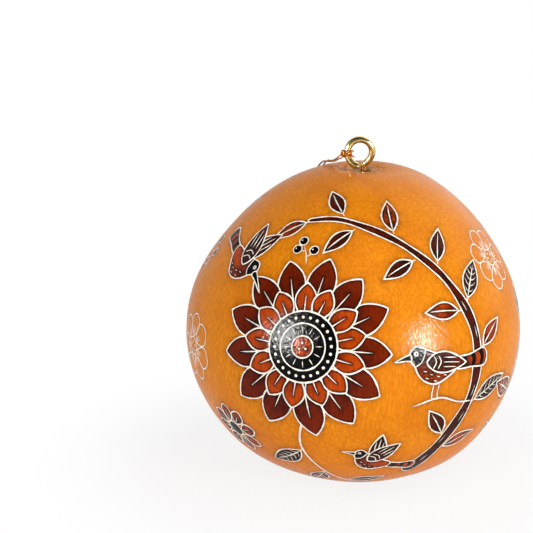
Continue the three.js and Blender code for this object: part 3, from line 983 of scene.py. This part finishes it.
def draw_front():
    """A sunflower under an arching branch, with three birds."""
    vine([(-14, 100), (-19, 118), (-12, 134), (4, 146)], [
        (0.42, -1, 55, "brown", 10), (0.68, -1, 50, "rust", 9), (0.86, 1, 50, "brown", 8)], CUT_WIDTH * 1.4)
    sunflower(spot(-16.5, 82, 6))
    branch([(24, 134), (36, 118), (44, 99), (45, 80), (38, 62), (24, 48), (4, 39), (-14, 36), (-30, 38)],
           3.2, 1.1, [
        (0.10, -1, 46, "rust", 8.5), (0.14, 1, 55, "brown", 8), (0.25, -1, 50, "brown", 10.5),
        (0.38, -1, 48, "red", 8), (0.49, 1, 58, "rust", 8.5), (0.50, -1, 52, "brown", 10),
        (0.62, -1, 55, "brown", 8.5), (0.68, 1, 62, "brown", 8), (0.76, -1, 50, "rust", 8.5),
        (0.86, 1, 56, "brown", 8), (0.90, -1, 44, "brown", 8), (0.985, 1, 12, "rust", 8)])
    gouge(trail([(44, 104), (38, 103), (30, 100), (20, 102)]), CUT_WIDTH * 1.1, thin_ends=(0.3, 3))
    bird(spot(29, 89, 6, 1.12), PERCHED)
    for side in (27.4, 29.4):
        leg = trail([(side, 95), (side - 0.6, 98.5), (side - 0.2, 100.6)], 0.4)
        gouge(leg, FINE_CUT, thin_ends=(0.2, 0.3))
    bird(spot(-55, 59, -36, 1.05, mirrored=True), FLYING, beak=5.0)
    bird(spot(8, 126, -12, 0.82), FLYING)
    outline_blossom(spot(-68, 93), 15)
    outline_blossom(spot(71, 60, 10), 15)
    vine([(68, 140), (76, 122), (74, 104), (82, 86)], [
        (0.18, 1, 50, "brown", 7.5), (0.36, -1, 48, "rust", 8), (0.56, 1, 50, "red", 10.5),
        (0.74, -1, 46, "brown", 7.5), (0.98, 1, 5, "brown", 8)])
    daisy(spot(-50, 119, 10), "rust", 13)
    sprig(spot(-23, 52, 24), [(0, -2.0), (0.3, 0.6), (0, 2.8)], THREE_BERRIES, "black")


def draw_back():
    """An open tulip between two more birds, with vines and small flowers towards the sides."""
    vine([(180, 99), (175, 114), (182, 130), (178, 146)], [
        (0.30, 1, 40, "brown", 15), (0.48, -1, 42, "brown", 14), (0.84, 1, 50, "rust", 8)], CUT_WIDTH * 1.5)
    tulip(spot(180, 102, 0, 1.2))
    bird(spot(139, 74, 14, 1.1, mirrored=True), FLYING)
    bird(spot(-141, 92, -6, 1.1), PERCHED)
    vine([(-154, 104), (-146, 103), (-134, 105), (-122, 101)], [
        (0.30, -1, 50, "brown", 7), (0.70, 1, 52, "rust", 7), (0.98, -1, 8, "brown", 7)])
    vine([(-96, 140), (-106, 118), (-98, 94), (-110, 70), (-104, 48)], [
        (0.10, -1, 52, "brown", 8), (0.20, 1, 50, "rust", 8.5), (0.34, -1, 48, "brown", 9.5),
        (0.46, 1, 52, "brown", 8.5), (0.58, -1, 50, "red", 8.5), (0.70, 1, 48, "brown", 9.5),
        (0.82, -1, 50, "brown", 8), (0.92, 1, 44, "rust", 7.5), (0.985, -1, 8, "brown", 8)])
    vine([(108, 144), (98, 120), (108, 98), (98, 72), (106, 50)], [
        (0.12, 1, 50, "rust", 8), (0.24, -1, 52, "brown", 9), (0.38, 1, 50, "brown", 9.5),
        (0.52, -1, 48, "brown", 8.5), (0.64, 1, 50, "red", 9), (0.78, -1, 48, "brown", 8.5),
        (0.90, 1, 44, "brown", 7.5), (0.985, -1, 8, "rust", 8)])
    daisy(spot(-128, 62, 8), "red", 12)
    daisy(spot(133, 108), "rust", 13)
    daisy(spot(-160, 56, 20), "rust", 10, petals=7)
    outline_blossom(spot(-130, 124), 13)
    outline_blossom(spot(168, 58), 13)
    outline_blossom(spot(146, 132), 11, petals=6)
    bud(spot(-163, 118, 18))
    bud(spot(160, 122, -20))
    bud(spot(86, 118, 10))
    sprig(spot(124, 52, -10), [(0, -3), (0.3, 0), (0, 3.5)], THREE_BERRIES, "black")
    sprig(spot(-84, 66, 14), [(0, -4), (0.4, 0), (0, 4)], [
        (0.3, -1.9, 1.2), (0.6, 1.8, 1.2), (1, 0, 1.4)], "red")


draw_front()
draw_back()


def to_chart(directions):
    """A flat map of directions, looking down on the stem, that keeps shapes true."""
    return directions[:, :2] / (1 + directions[:, 2:3])


def from_chart(points):
    """The directions of points in the flat map."""
    away = (points ** 2).sum(axis=1, keepdims=True)
    return np.hstack([2 * points, 1 - away]) / (1 + away)


def even_spread(spacing, lowest, highest):
    """Directions spread evenly over the skin between two angles from the stem."""
    count = round(4 * math.pi * SKIN_RADIUS ** 2 / (spacing ** 2 * math.sqrt(3) / 2))
    order = np.arange(count)
    height = 1 - 2 * (order + 0.5) / count
    golden = order * math.pi * (3 - math.sqrt(5))
    flat = np.sqrt(1 - height ** 2)
    spread = np.stack([flat * np.cos(golden), flat * np.sin(golden), height], axis=1)
    return spread[(height < math.cos(lowest)) & (height > math.cos(highest))]


def winding(points, loop):
    """How many times a closed line in the chart goes round each point."""
    ahead = np.roll(loop, -1, axis=0)
    px, py = points[:, :1], points[:, 1:]
    ax, ay, bx, by = loop[:, 0], loop[:, 1], ahead[:, 0], ahead[:, 1]
    left = (bx - ax) * (py - ay) - (px - ax) * (by - ay)
    up = (ay <= py) & (by > py) & (left > 0)
    down = (ay > py) & (by <= py) & (left < 0)
    return up.sum(axis=1) - down.sum(axis=1)


TOP_STEPS = 400
FOOT_MARGIN = 0.3
CHART_SLACK = 1e-6
RING_SLACK = 2e-5
REACH_SLACK = 1e-4
BESIDE_CUTS = (0.20, 0.32)
ON_SCAR = (0.20, 0.20)
ON_SKIN = (0.55, 0.75)


def angle_on_top(radius):
    """The angle from the stem at which the skin's upper side has a radius in mm."""
    top = survey[:TOP_STEPS]
    return np.interp(radius, skin_profile(top)[0], top)


mouth_size = math.tan(angle_on_top(MOUTH_RADIUS) / 2)
mouth_middle = np.array([mouth_size / MOUTH_RADIUS * (shank_top[0] - stem_axis), 0])
foot_size = math.tan(foot_angle / 2)
scar_angle = angle_on_top(SCAR_RADIUS)
spin = np.radians(np.arange(HOLE_SIDES) * 360 / HOLE_SIDES)
round_way = np.stack([np.sin(spin), -np.cos(spin), 0 * spin], axis=1)


def level_ring(angle, sides):
    """Directions round the fruit at an angle from the stem."""
    return toward(np.arange(sides) * 360 / sides, math.degrees(angle))


def search_tree(points):
    """Finds the nearest of some points."""
    tree = kdtree.KDTree(len(points))
    for k, point in enumerate(points):
        tree.insert(point, k)
    tree.balance()
    return tree


def free_points(line_points):
    """Directions for the skin's mesh between the lines.

    Each keeps a distance in mm from every line, and is alone in a cell of a size in mm.
    """
    tree = search_tree(line_points * SKIN_RADIUS)
    low = foot_angle - FOOT_MARGIN / SKIN_RADIUS
    free, taken = [], set()
    for directions, (clear, cell) in [(np.vstack(loose_points), BESIDE_CUTS),
                                      (even_spread(SCAR_SPACING, 0, scar_angle), ON_SCAR),
                                      (even_spread(SKIN_SPACING, scar_angle, low), ON_SKIN)]:
        for direction in directions:
            place = direction * SKIN_RADIUS
            box = tuple(np.round(place / cell).astype(int))
            if box not in taken and tree.find(place)[2] > clear and direction[2] > math.cos(low):
                taken.add(box)
                free.append(direction)
    return np.array(free)


def skin_mesh():
    """Points and triangles of the outer skin, whose edges follow every line of the drawing."""
    mouth = from_chart(mouth_middle + mouth_size * round_way[:, :2])
    lines = [(mouth, True), (level_ring(foot_angle, FOOT_SIDES), True)] + mesh_lines
    starts = np.cumsum([0] + [len(line) for line, _ in lines])
    edges = []
    for (line, closed), start in zip(lines, starts):
        edges += [(start + k, start + k + 1) for k in range(len(line) - 1)]
        if closed:
            edges.append((start + len(line) - 1, start))
    line_points = np.vstack([line for line, _ in lines])
    charted = [Vector(p) for p in to_chart(np.vstack([line_points, free_points(line_points)]))]
    made = delaunay_2d_cdt(charted, edges, [], 0, CHART_SLACK, False)
    flat, faces = np.array(made[0]), np.array(made[2])
    corners = flat[faces]
    across, along = corners[:, 1] - corners[:, 0], corners[:, 2] - corners[:, 0]
    backwards = across[:, 0] * along[:, 1] < across[:, 1] * along[:, 0]
    faces[backwards] = faces[backwards][:, ::-1]
    middles = corners.mean(axis=1)
    kept = faces[(np.linalg.norm(middles - mouth_middle, axis=1) > mouth_size)
                 & (np.linalg.norm(middles, axis=1) < foot_size)]
    used, renumbered = np.unique(kept, return_inverse=True)
    return flat[used], renumbered.reshape(kept.shape)


def shapes_over(middles):
    """For each point in the chart, the last shape of the drawing that covers it, or -1.

    A groove that closes on itself has an outer and an inner loop, and covers what lies between them.
    """
    aim = from_chart(middles)
    shape = np.full(len(middles), -1)
    for number, drawn in enumerate(drawing):
        heart = unit(np.vstack(drawn["loops"]).mean(axis=0))
        reach = min((loop @ heart).min() for loop in drawn["loops"])
        near = np.nonzero(aim @ heart > reach - REACH_SLACK)[0]
        turns = [winding(middles[near], to_chart(loop)) for loop in drawn["loops"]]
        covered = np.subtract.reduce(turns) != 0
        shape[near[covered]] = number
    return shape


def ring_order(flat, middle, size):
    """The skin's points on a ring in the chart, in the order of level_ring."""
    from_middle = flat - middle
    on_ring = np.nonzero(abs(np.linalg.norm(from_middle, axis=1) - size) < RING_SLACK)[0]
    return on_ring[np.argsort(np.arctan2(from_middle[on_ring, 0], -from_middle[on_ring, 1]) % math.tau)]


SKIN_DEPTH = 0.16
SWELL_SIZE = 13
SWELL_HEIGHT = 0.13
DENT_SIZE = 4.2
DENT_HEIGHT = 0.035
DENT_SHIFT = Vector((9, 0, 0))
SCAR_EDGE = SCAR_RADIUS * 0.8
SCAR_RAGGED = 0.9
SCAR_FADE = 1.2
SCAR_DEPTH = 0.12
CORK_SIZE = 1.1
CORK_DEPTH = 0.42
GROOVE_SLOPE = 0.85


def skin_depth(points, directions, near, grooved):
    """How far each point of the skin lies below the fruit's smooth outline, in mm."""
    swell = np.array([noise.noise(Vector(p) / SWELL_SIZE) for p in points])
    dents = np.array([noise.noise(Vector(p) / DENT_SIZE + DENT_SHIFT) for p in points])
    depth = SKIN_DEPTH + SWELL_HEIGHT * swell + DENT_HEIGHT * dents
    radius = np.hypot(points[:, 0] - stem_axis, points[:, 1])
    edge = SCAR_EDGE + SCAR_RAGGED * swell
    scar = np.clip((edge - radius) / SCAR_FADE, 0, 1) * (directions[:, 2] > 0)
    cork = np.array([noise.turbulence(Vector(p) / CORK_SIZE, 3, False) if s > 0 else 0
                     for p, s in zip(points, scar)])
    depth += scar * (SCAR_DEPTH + CORK_DEPTH * cork)
    return depth + np.where(grooved, np.minimum(CUT_DEPTH, GROOVE_SLOPE * near), 0)


def outward_ways(directions):
    """Directions that stand square on the fruit's smooth outline."""
    across, up = skin_slope(np.arccos(np.clip(directions[:, 2], -1, 1)))
    flat_way = unit(directions[:, :2])
    return unit(np.stack([-up * flat_way[:, 0], -up * flat_way[:, 1], across], axis=1))


def wall_points():
    """Rings that line the pilot hole and the cavity, and the last point at the cavity's bottom."""
    ceiling = cavity_profile(survey[1])[1]
    rings = [round_way * HOLE_RADIUS + shank_top - [0, 0, MOUTH_DEPTH],
             round_way * HOLE_RADIUS + [shank_top[0], 0, ceiling]]
    for angle in np.linspace(0, math.pi, CAVITY_RINGS + 2)[1:-1]:
        rings.append(on_fruit(level_ring(angle, HOLE_SIDES), cavity_profile))
    return rings, on_fruit(level_ring(math.pi, 1), cavity_profile)


def wall_faces(mouth_ring, foot_ring, first, ring_count):
    """Faces of the hole, the cavity and the foot. Their own points are numbered from the first."""
    rings = [mouth_ring] + [first + k * HOLE_SIDES + np.arange(HOLE_SIDES) for k in range(ring_count)]
    bottom = first + ring_count * HOLE_SIDES
    faces = []
    for upper, lower in zip(rings[:-1], rings[1:]):
        faces += zip(upper, np.roll(upper, -1), np.roll(lower, -1), lower)
    faces += [(a, b, bottom) for a, b in zip(rings[-1], np.roll(rings[-1], -1))]
    faces += [(b, a, bottom + 1) for a, b in zip(foot_ring, np.roll(foot_ring, -1))]
    return faces


def read_all(items, name):
    """A whole number of each corner or face of a mesh."""
    values = np.empty(len(items), int)
    items.foreach_get(name, values)
    return values


def store(mesh, name, kind, domain, values):
    """Gives a mesh a named value on each of its points, corners or edges."""
    layer = mesh.attributes.new(name, kind, domain)
    layer.data.foreach_set("value", values)


def lengthened(values, count, filler):
    """The values with a filler after them, up to a count."""
    return np.concatenate([values, np.full(count - len(values), filler)])


FINISHES = ["skin", "cut", "brown", "black", "rust", "red"]
SKIN, CUT = FINISHES.index("skin"), FINISHES.index("cut")
FAR_FROM_CUTS = 3.0


def of_shapes(shape, key, otherwise):
    """A value of the shape of the drawing that covers each face, or another one on the bare skin."""
    return np.array([otherwise] + [drawn.get(key, otherwise) for drawn in drawing])[shape + 1]


def carved_shell():
    """The whole gourd: its skin with V-shaped grooves, the pilot hole and the cavity, in one mesh."""
    flat, faces = skin_mesh()
    directions = from_chart(flat)
    shape = shapes_over(flat[faces].mean(axis=1))
    kind = np.array([FINISHES.index(name) for name in of_shapes(shape, "kind", "skin")])
    is_cut = kind == CUT
    touches_cut, touches_other = np.zeros((2, len(flat)), bool)
    touches_cut[faces[is_cut]] = True
    touches_other[faces[~is_cut]] = True
    burnt_at = np.zeros(len(flat))
    burnt_at[faces[is_cut]] = of_shapes(shape, "burnt", 0.0)[is_cut, None]

    points = on_fruit(directions, skin_profile)
    border = np.nonzero(touches_cut & touches_other)[0]
    tree = search_tree(points[border])
    found = [tree.find(point)[1:] for point in points]
    near = np.array([gap for _, gap in found])
    burnt = burnt_at[border[[number for number, _ in found]]]
    sunk = skin_depth(points, directions, near, touches_cut & ~touches_other)
    foot_ring, mouth_ring = ring_order(flat, [0, 0], foot_size), ring_order(flat, mouth_middle, mouth_size)
    sunk[foot_ring] = 0
    points = points - outward_ways(directions) * sunk[:, None]
    points[:, 2] = np.maximum(points[:, 2], 0)

    rings, bottom = wall_points()
    walls = wall_faces(mouth_ring, foot_ring, len(points), len(rings))
    all_points = np.vstack([points, *rings, bottom, [[0, 0, 0]]])
    made = make_mesh("carved_gourd", all_points, [], [tuple(face) for face in faces] + walls)
    mesh = made.data
    mesh.shade_smooth()

    wall_kinds = np.full(len(walls), CUT)
    wall_kinds[:2 * HOLE_SIDES] = SKIN
    wall_kinds[-len(foot_ring):] = SKIN
    kinds = np.concatenate([kind, wall_kinds])
    mesh.polygons.foreach_set("material_index", kinds)
    bases, reaches = of_shapes(shape, "base", (0, 0, 1)), of_shapes(shape, "reach", 1.0)
    grown = np.linalg.norm(directions[faces] - bases[:, None], axis=2) * SKIN_RADIUS
    grown = np.clip(grown / reaches[:, None], 0, 1).ravel()
    store(mesh, "near", "FLOAT", "POINT", lengthened(near, len(all_points), FAR_FROM_CUTS))
    store(mesh, "burnt", "FLOAT", "POINT", lengthened(burnt, len(all_points), 0.0))
    store(mesh, "grown", "FLOAT", "CORNER", lengthened(grown, len(mesh.loops), 0.0))
    mark_groove_edges(mesh, kinds == CUT)
    lay_out_map(mesh, all_points)
    return made


def mark_groove_edges(mesh, is_cut):
    """Keeps the skin's shading apart from the grooves' at every edge between them."""
    edge = read_all(mesh.loops, "edge_index")
    cut_corner = np.repeat(is_cut, read_all(mesh.polygons, "loop_total"))
    has_cut, has_other = np.zeros((2, len(mesh.edges)), bool)
    has_cut[edge[cut_corner]] = True
    has_other[edge[~cut_corner]] = True
    store(mesh, "sharp_edge", "BOOLEAN", "EDGE", has_cut & has_other)


MAP_TURN = 0.485 / 0.53
INNER_WALL = 2.6
INNER_BAND = 0.11
OUTER_START = 0.12
OUTER_BAND = 0.87


def lay_out_map(mesh, points):
    """A map of the fruit as on a globe: once round is the width, and the inner wall lies below."""
    layer = mesh.uv_layers.new(name="UVMap")
    vertex = read_all(mesh.loops, "vertex_index")
    start = read_all(mesh.polygons, "loop_start")
    sides = np.diff(np.append(start, len(vertex)))
    around = np.arctan2(points[:, 0], -points[:, 1])[vertex] / math.tau
    around = around + np.round(np.repeat(around[start], sides) - around)
    from_middle = points - [0, 0, GOURD_HEIGHT / 2]
    polar = np.arccos(np.clip(unit(from_middle)[:, 2], -1, 1))[vertex] / math.pi
    inner = np.linalg.norm(from_middle, axis=1)[vertex] < SKIN_RADIUS - INNER_WALL
    inner = np.repeat(np.maximum.reduceat(inner.astype(int), start), sides) > 0
    up = np.where(inner, INNER_BAND * (1 - polar), OUTER_START + OUTER_BAND * (1 - polar))
    layer.uv.foreach_set("vector", np.stack([0.5 + MAP_TURN * around, up], axis=1).ravel())


GOLD_DEEP = (0.72, 0.200, 0.004, 1)
GOLD_PALE = (0.86, 0.294, 0.006, 1)
GOLD_WARM = (0.80, 0.240, 0.004, 1)
GRAIN_DARK = (0.64, 0.165, 0.004, 1)
GRAIN_LIGHT = (0.92, 0.33, 0.018, 1)
CLOUD = (0.66, 0.165, 0.004, 1)
FRECKLE = (0.48, 0.11, 0.005, 1)
SCORCH = (0.20, 0.040, 0.004, 1)
CORK_DARK = (0.27, 0.14, 0.07, 1)
CORK_LIGHT = (0.50, 0.28, 0.14, 1)
CORK_PIT = (0.10, 0.07, 0.05, 1)
# Pale tan painted sheen on the varnish round the stem scar.
SCAR_SHEEN = (0.62, 0.29, 0.10, 1)
BROWN_DARK = (0.045, 0.003, 0.001, 1)
BROWN_LIGHT = (0.200, 0.016, 0.001, 1)
RUST_DARK = (0.17, 0.014, 0.001, 1)
RUST_LIGHT = (0.56, 0.064, 0.002, 1)
RED_DARK = (0.25, 0.020, 0.001, 1)
RED_LIGHT = (0.63, 0.060, 0.002, 1)
DYE_SHADOW = (0.014, 0.006, 0.004, 1)
CHAR = (0.0015, 0.001, 0.001, 1)
CHAR_SCRATCH = (0.007, 0.006, 0.008, 1)
WOOD_PALE = (0.98, 0.94, 0.86, 1)
WOOD_GRAIN = (0.90, 0.80, 0.64, 1)
WOOD_STAIN = (0.50, 0.20, 0.05, 1)
VARNISH = {"Coat_Weight": 0.5, "Coat_Roughness": 0.16, "Coat_IOR": 1.25, "Specular_IOR_Level": 0.0}


def varnish(tree, place, surface):
    """The waves, pebbles and dust specks of the varnish, in the direction of its clear coat."""
    waves = speckle(tree, place, 0.22, detail=1)
    pebbles = speckle(tree, object_place(tree, (1, 1, 0.85)), 2.3, detail=0)
    specks = ranged(tree, speckle(tree, place, 2.6, detail=1), 0.66, 0.76)
    raised = None
    for height, depth in ((waves, 0.05), (pebbles, 0.065), (specks, 0.02)):
        raised = bumped(tree, height, depth, raised)
    tree.links.new(raised, surface.inputs["Coat Normal"])
    return pebbles


def read(tree, name):
    """A value that the mesh holds under a name."""
    return add(tree, "ShaderNodeAttribute", {"attribute_name": name}, output="Fac")


def fading(tree, distance, over):
    """Falls from 1 beside a cut to about a third so many mm away, and on towards nothing."""
    return calc(tree, "EXPONENT", product(tree, distance, -1 / over))


def fibres_of(tree):
    """Fine upright streaks of the rind's fibres, and softer ones between them."""
    fine = speckle(tree, object_place(tree, (1, 1, 0.12)), 1.7, detail=3, roughness=0.6)
    soft = speckle(tree, object_place(tree, (1, 1, 0.2)), 0.45, distortion=0.4)
    return fine, soft


def with_scar(tree, place, colour):
    """Lays the cork of the stem scar over a colour, with a paler ring of painted sheen round it."""
    axis = add_node(tree, "ShaderNodeSeparateXYZ", i0=place).outputs
    away = hypotenuse(tree, calc(tree, "SUBTRACT", axis["X"], float(stem_axis)), axis["Y"])
    away = calc(tree, "MULTIPLY_ADD", speckle(tree, place, 0.33, detail=3), 4.0, away)
    upper = ranged(tree, axis["Z"], 40, 50)
    # The paler ring round the scar is painted sheen.
    ring = product(tree, ranged(tree, away, 10.5, 5.5), upper, 0.35)
    scar = product(tree, ranged(tree, away, 7.2, 3.6), upper, 0.85)
    grain = ranged(tree, speckle(tree, place, 1.1, detail=4, roughness=0.7), 0.35, 0.65)
    pits = ranged(tree, speckle(tree, place, 2.2), 0.60, 0.68)
    cork = layered(tree, CORK_DARK, (grain, CORK_LIGHT), (pits, CORK_PIT))
    return layered(tree, colour, (ring, SCAR_SHEEN), (scar, cork))


def skin_material():
    """Golden rind under varnish, scorched beside the burnt lines and corky at the stem, with painted sheen
    round the scar.
    """
    material, tree, surface = new_material("golden rind", 0.5, **VARNISH)
    place = object_place(tree)
    fine, soft = fibres_of(tree)
    grain = speckle(tree, object_place(tree, (1, 1, 0.4)), 1.8, roughness=0.7)
    clouds = speckle(tree, place, 0.075, detail=3, roughness=0.6)
    freckles = speckle(tree, place, 0.9)
    uneven = ranged(tree, speckle(tree, place, 0.8), 0.3, 0.7, 0.35, 1.0)
    smoke = product(tree, fading(tree, read(tree, "near"), 0.55), read(tree, "burnt"), uneven)
    colour = layered(tree, GOLD_DEEP,
                     (ranged(tree, fine, 0.3, 0.7), GOLD_PALE),
                     (ranged(tree, soft, 0.35, 0.7, 0, 0.8), GOLD_WARM),
                     (ranged(tree, grain, 0.58, 0.36, 0, 0.40), GRAIN_DARK),
                     (ranged(tree, grain, 0.50, 0.68, 0, 0.45), GRAIN_LIGHT),
                     (ranged(tree, clouds, 0.4, 0.75, 0, 0.6), CLOUD),
                     (ranged(tree, freckles, 0.70, 0.78, 0, 0.35), FRECKLE),
                     (smoke, SCORCH))
    finish_surface(tree, surface, with_scar(tree, place, colour), fine, 0.05)
    pebbles = varnish(tree, place, surface)
    tree.links.new(ranged(tree, pebbles, 0.2, 0.8, 0.42, 0.6), surface.inputs["Roughness"])
    return material


def dyed_material(name, dark, light, start, end):
    """Dye soaked into the scraped rind: clouded, darker from its base, nearly black by its outline."""
    material, tree, surface = new_material(name, 0.45, **VARNISH)
    place = object_place(tree)
    fine, soft = fibres_of(tree)
    patches = calc(tree, "SUBTRACT", speckle(tree, place, 0.30, detail=4, roughness=0.6), 0.5)
    share = calc(tree, "MULTIPLY_ADD", patches, 1.3, read(tree, "grown"))
    streaks = product(tree, ranged(tree, fine, 0.35, 0.7), 0.35)
    streak_colour = (*(0.45 * c for c in dark[:3]), 1)
    shadow = product(tree, ranged(tree, read(tree, "near"), 0.60, 0.20),
                     ranged(tree, soft, 0.25, 0.7, 0.45, 1.0))
    colour = layered(tree, dark, (ranged(tree, share, start, end), light),
                     (streaks, streak_colour), (shadow, DYE_SHADOW))
    finish_surface(tree, surface, colour, fine, 0.05)
    varnish(tree, place, surface)
    return material


def black_material():
    """Burnt and blackened rind, with faint bluish scratches of the tool."""
    material, tree, surface = new_material("charred black", 0.4, **VARNISH)
    scratches = ranged(tree, speckle(tree, object_place(tree, (2.5, 2.5, 0.3)), 1.3), 0.62, 0.74)
    finish_surface(tree, surface, mixed(tree, scratches, CHAR, CHAR_SCRATCH), scratches, 0.03)
    varnish(tree, object_place(tree), surface)
    return material


def cut_material():
    """Bare pale wood in the gouge cuts and inside, with a little colour left at their edges."""
    material, tree, surface = new_material("bare pale wood", 0.62, Coat_Weight=0.25, Coat_Roughness=0.3)
    place = object_place(tree)
    grain = speckle(tree, place, 2.6, detail=3, roughness=0.65)
    ragged = ranged(tree, speckle(tree, place, 3.4), 0.45, 0.7, 0.0, 0.5)
    stain = product(tree, fading(tree, read(tree, "near"), 0.05), ragged)
    colour = layered(tree, WOOD_PALE, (ranged(tree, grain, 0.3, 0.7), WOOD_GRAIN), (stain, WOOD_STAIN))
    finish_surface(tree, surface, colour, grain, 0.05)
    return material


shell = carved_shell()
for finish in (skin_material(), cut_material(),
               dyed_material("brown dye", BROWN_DARK, BROWN_LIGHT, 0.0, 1.0),
               black_material(),
               dyed_material("rust dye", RUST_DARK, RUST_LIGHT, 0.05, 0.75),
               dyed_material("red dye", RED_DARK, RED_LIGHT, 0.0, 0.6)):
    shell.data.materials.append(finish)
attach(shell, "gourd")
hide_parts("gourd_shell")


# Seeds. Flat buff seeds that dried loose inside, with a dull papery coat that flakes pale in places.
# They lie on the floor of the cavity.
SEED_PALE = (0.62, 0.46, 0.27, 1)
SEED_DARK = (0.42, 0.28, 0.14, 1)
SEED_FLAKE = (0.76, 0.64, 0.44, 1)


def seed_material():
    """A dry clouded coat with small flakes."""
    material, tree, surface = new_material("dry seed coat", 0.75, Specular_IOR_Level=0.3)
    place = object_place(tree)
    coat = speckle(tree, place, 0.8, detail=4, roughness=0.65)
    flakes = ranged(tree, speckle(tree, place, 2.2), 0.60, 0.68)
    colour = layered(tree, SEED_PALE, (ranged(tree, coat, 0.3, 0.7), SEED_DARK), (flakes, SEED_FLAKE))
    finish_surface(tree, surface, colour, coat, 0.12)
    return material


seed_coat = seed_material()
for name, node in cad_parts.items():
    if name.startswith("seed_"):
        node.data.materials.clear()
        node.data.materials.append(seed_coat)


# Studio. A pale floor under soft light from the sides, the front and above, with small bright gleams
# that only shiny surfaces reflect, white surroundings, and the dim room over and behind the camera.
FLOOR_SIZE = 6000
FLOOR_DROP = 0.05
SHADED_ZONE = (42.0, 80.0)
SHEET_WHITE = (0.92, 0.92, 0.92, 1)
WHITE = (1, 1, 1, 1)
GLOW_SHARE = 0.86
# Each light's name, its direction from the gourd's heart, its distance and size in m, its power in W,
# and what it is for: soft light, or a gleam on the varnish and the brass.
LIGHTS = [
    ("left_box", (-0.73, -0.68, 0.08), 0.50, 0.055, 0.6, "soft"),
    ("right_box", (0.75, -0.64, 0.18), 0.52, 0.08, 1.15, "soft"),
    ("front_sheet", (-0.20, -0.80, 0.70), 0.70, 0.60, 1.20, "soft"),
    ("top_sheet", (0.46, -0.35, 1.05), 0.90, 0.90, 4.1, "soft"),
    ("left_gleam", (-0.68, -0.68, 0.24), 0.50, 0.15, 6.6, "gleam"),
    ("right_gleam", (0.73, -0.66, 0.15), 0.52, 0.15, 7.6, "gleam"),
    ("top_gleam", (0.55, 0.62, 0.55), 0.90, 1.20, 5.0, "gleam"),
]
AMBIENT = 0.14
ROOM_AIM = (0.0, -0.8, 0.6)
ROOM_EDGE = (0.05, 0.35)
ROOM_LEVEL = 0.12


def floor_material():
    """A white sheet that keeps soft shadows near the object and glows white farther out."""
    material = bpy.data.materials.new("white sheet")
    material.use_nodes = True
    tree = material.node_tree
    tree.nodes.clear()
    sheet = add(tree, "ShaderNodeBsdfDiffuse", Color=SHEET_WHITE)
    glow = add(tree, "ShaderNodeEmission", Color=WHITE, Strength=1.0)
    rays = add_node(tree, "ShaderNodeLightPath").outputs
    seen = calc(tree, "MAXIMUM", rays["Is Camera Ray"], rays["Is Glossy Ray"])
    away = add(tree, "ShaderNodeVectorMath", {"operation": "LENGTH"}, output="Value", i0=object_place(tree))
    share = product(tree, seen, ranged(tree, away, *SHADED_ZONE, GLOW_SHARE, 1.0))
    add_node(tree, "ShaderNodeOutputMaterial",
             Surface=add(tree, "ShaderNodeMixShader", i0=share, i1=sheet, i2=glow))
    return material


reach = FLOOR_SIZE / 2
corners = [(x * reach, y * reach, -FLOOR_DROP) for x, y in ((-1, -1), (1, -1), (1, 1), (-1, 1))]
floor = make_mesh("floor", corners, [], [(0, 1, 2, 3)])
floor.data.materials.append(floor_material())

world = bpy.data.worlds.new("studio")
bpy.context.scene.world = world
world.use_nodes = True
tree = world.node_tree
tree.nodes.clear()
rays = add_node(tree, "ShaderNodeLightPath").outputs
seen_white = calc(tree, "MAXIMUM", rays["Is Camera Ray"],
                  calc(tree, "MAXIMUM", rays["Is Glossy Ray"], rays["Is Transmission Ray"]))
level = calc(tree, "MULTIPLY_ADD", seen_white, 1.0 - AMBIENT, AMBIENT)
towards_room = add(tree, "ShaderNodeVectorMath", {"operation": "DOT_PRODUCT"}, output="Value",
                   i0=add(tree, "ShaderNodeTexCoord", output="Generated"), i1=ROOM_AIM)
room = product(tree, rays["Is Glossy Ray"], ranged(tree, towards_room, *ROOM_EDGE, 0.0, 1.0 - ROOM_LEVEL))
level = product(tree, level, calc(tree, "SUBTRACT", 1.0, room))
add_node(tree, "ShaderNodeOutputWorld",
         Surface=add(tree, "ShaderNodeBackground", Color=WHITE, Strength=level))

for name, aim, distance, size, power, kind in LIGHTS:
    lamp_data = bpy.data.lights.new(name, "AREA")
    lamp_data.shape = "SQUARE"
    lamp_data.size = size
    lamp_data.energy = power
    lamp = in_scene(name, lamp_data)
    lamp.visible_glossy = kind == "gleam"
    lamp.visible_diffuse = kind == "soft"
    lamp.location = HEART + Vector(aim).normalized() * distance
    lamp.rotation_mode = "QUATERNION"
    lamp.rotation_quaternion = (HEART - lamp.location).to_track_quat("-Z", "Y")

bpy.context.scene.view_settings.view_transform = "Standard"
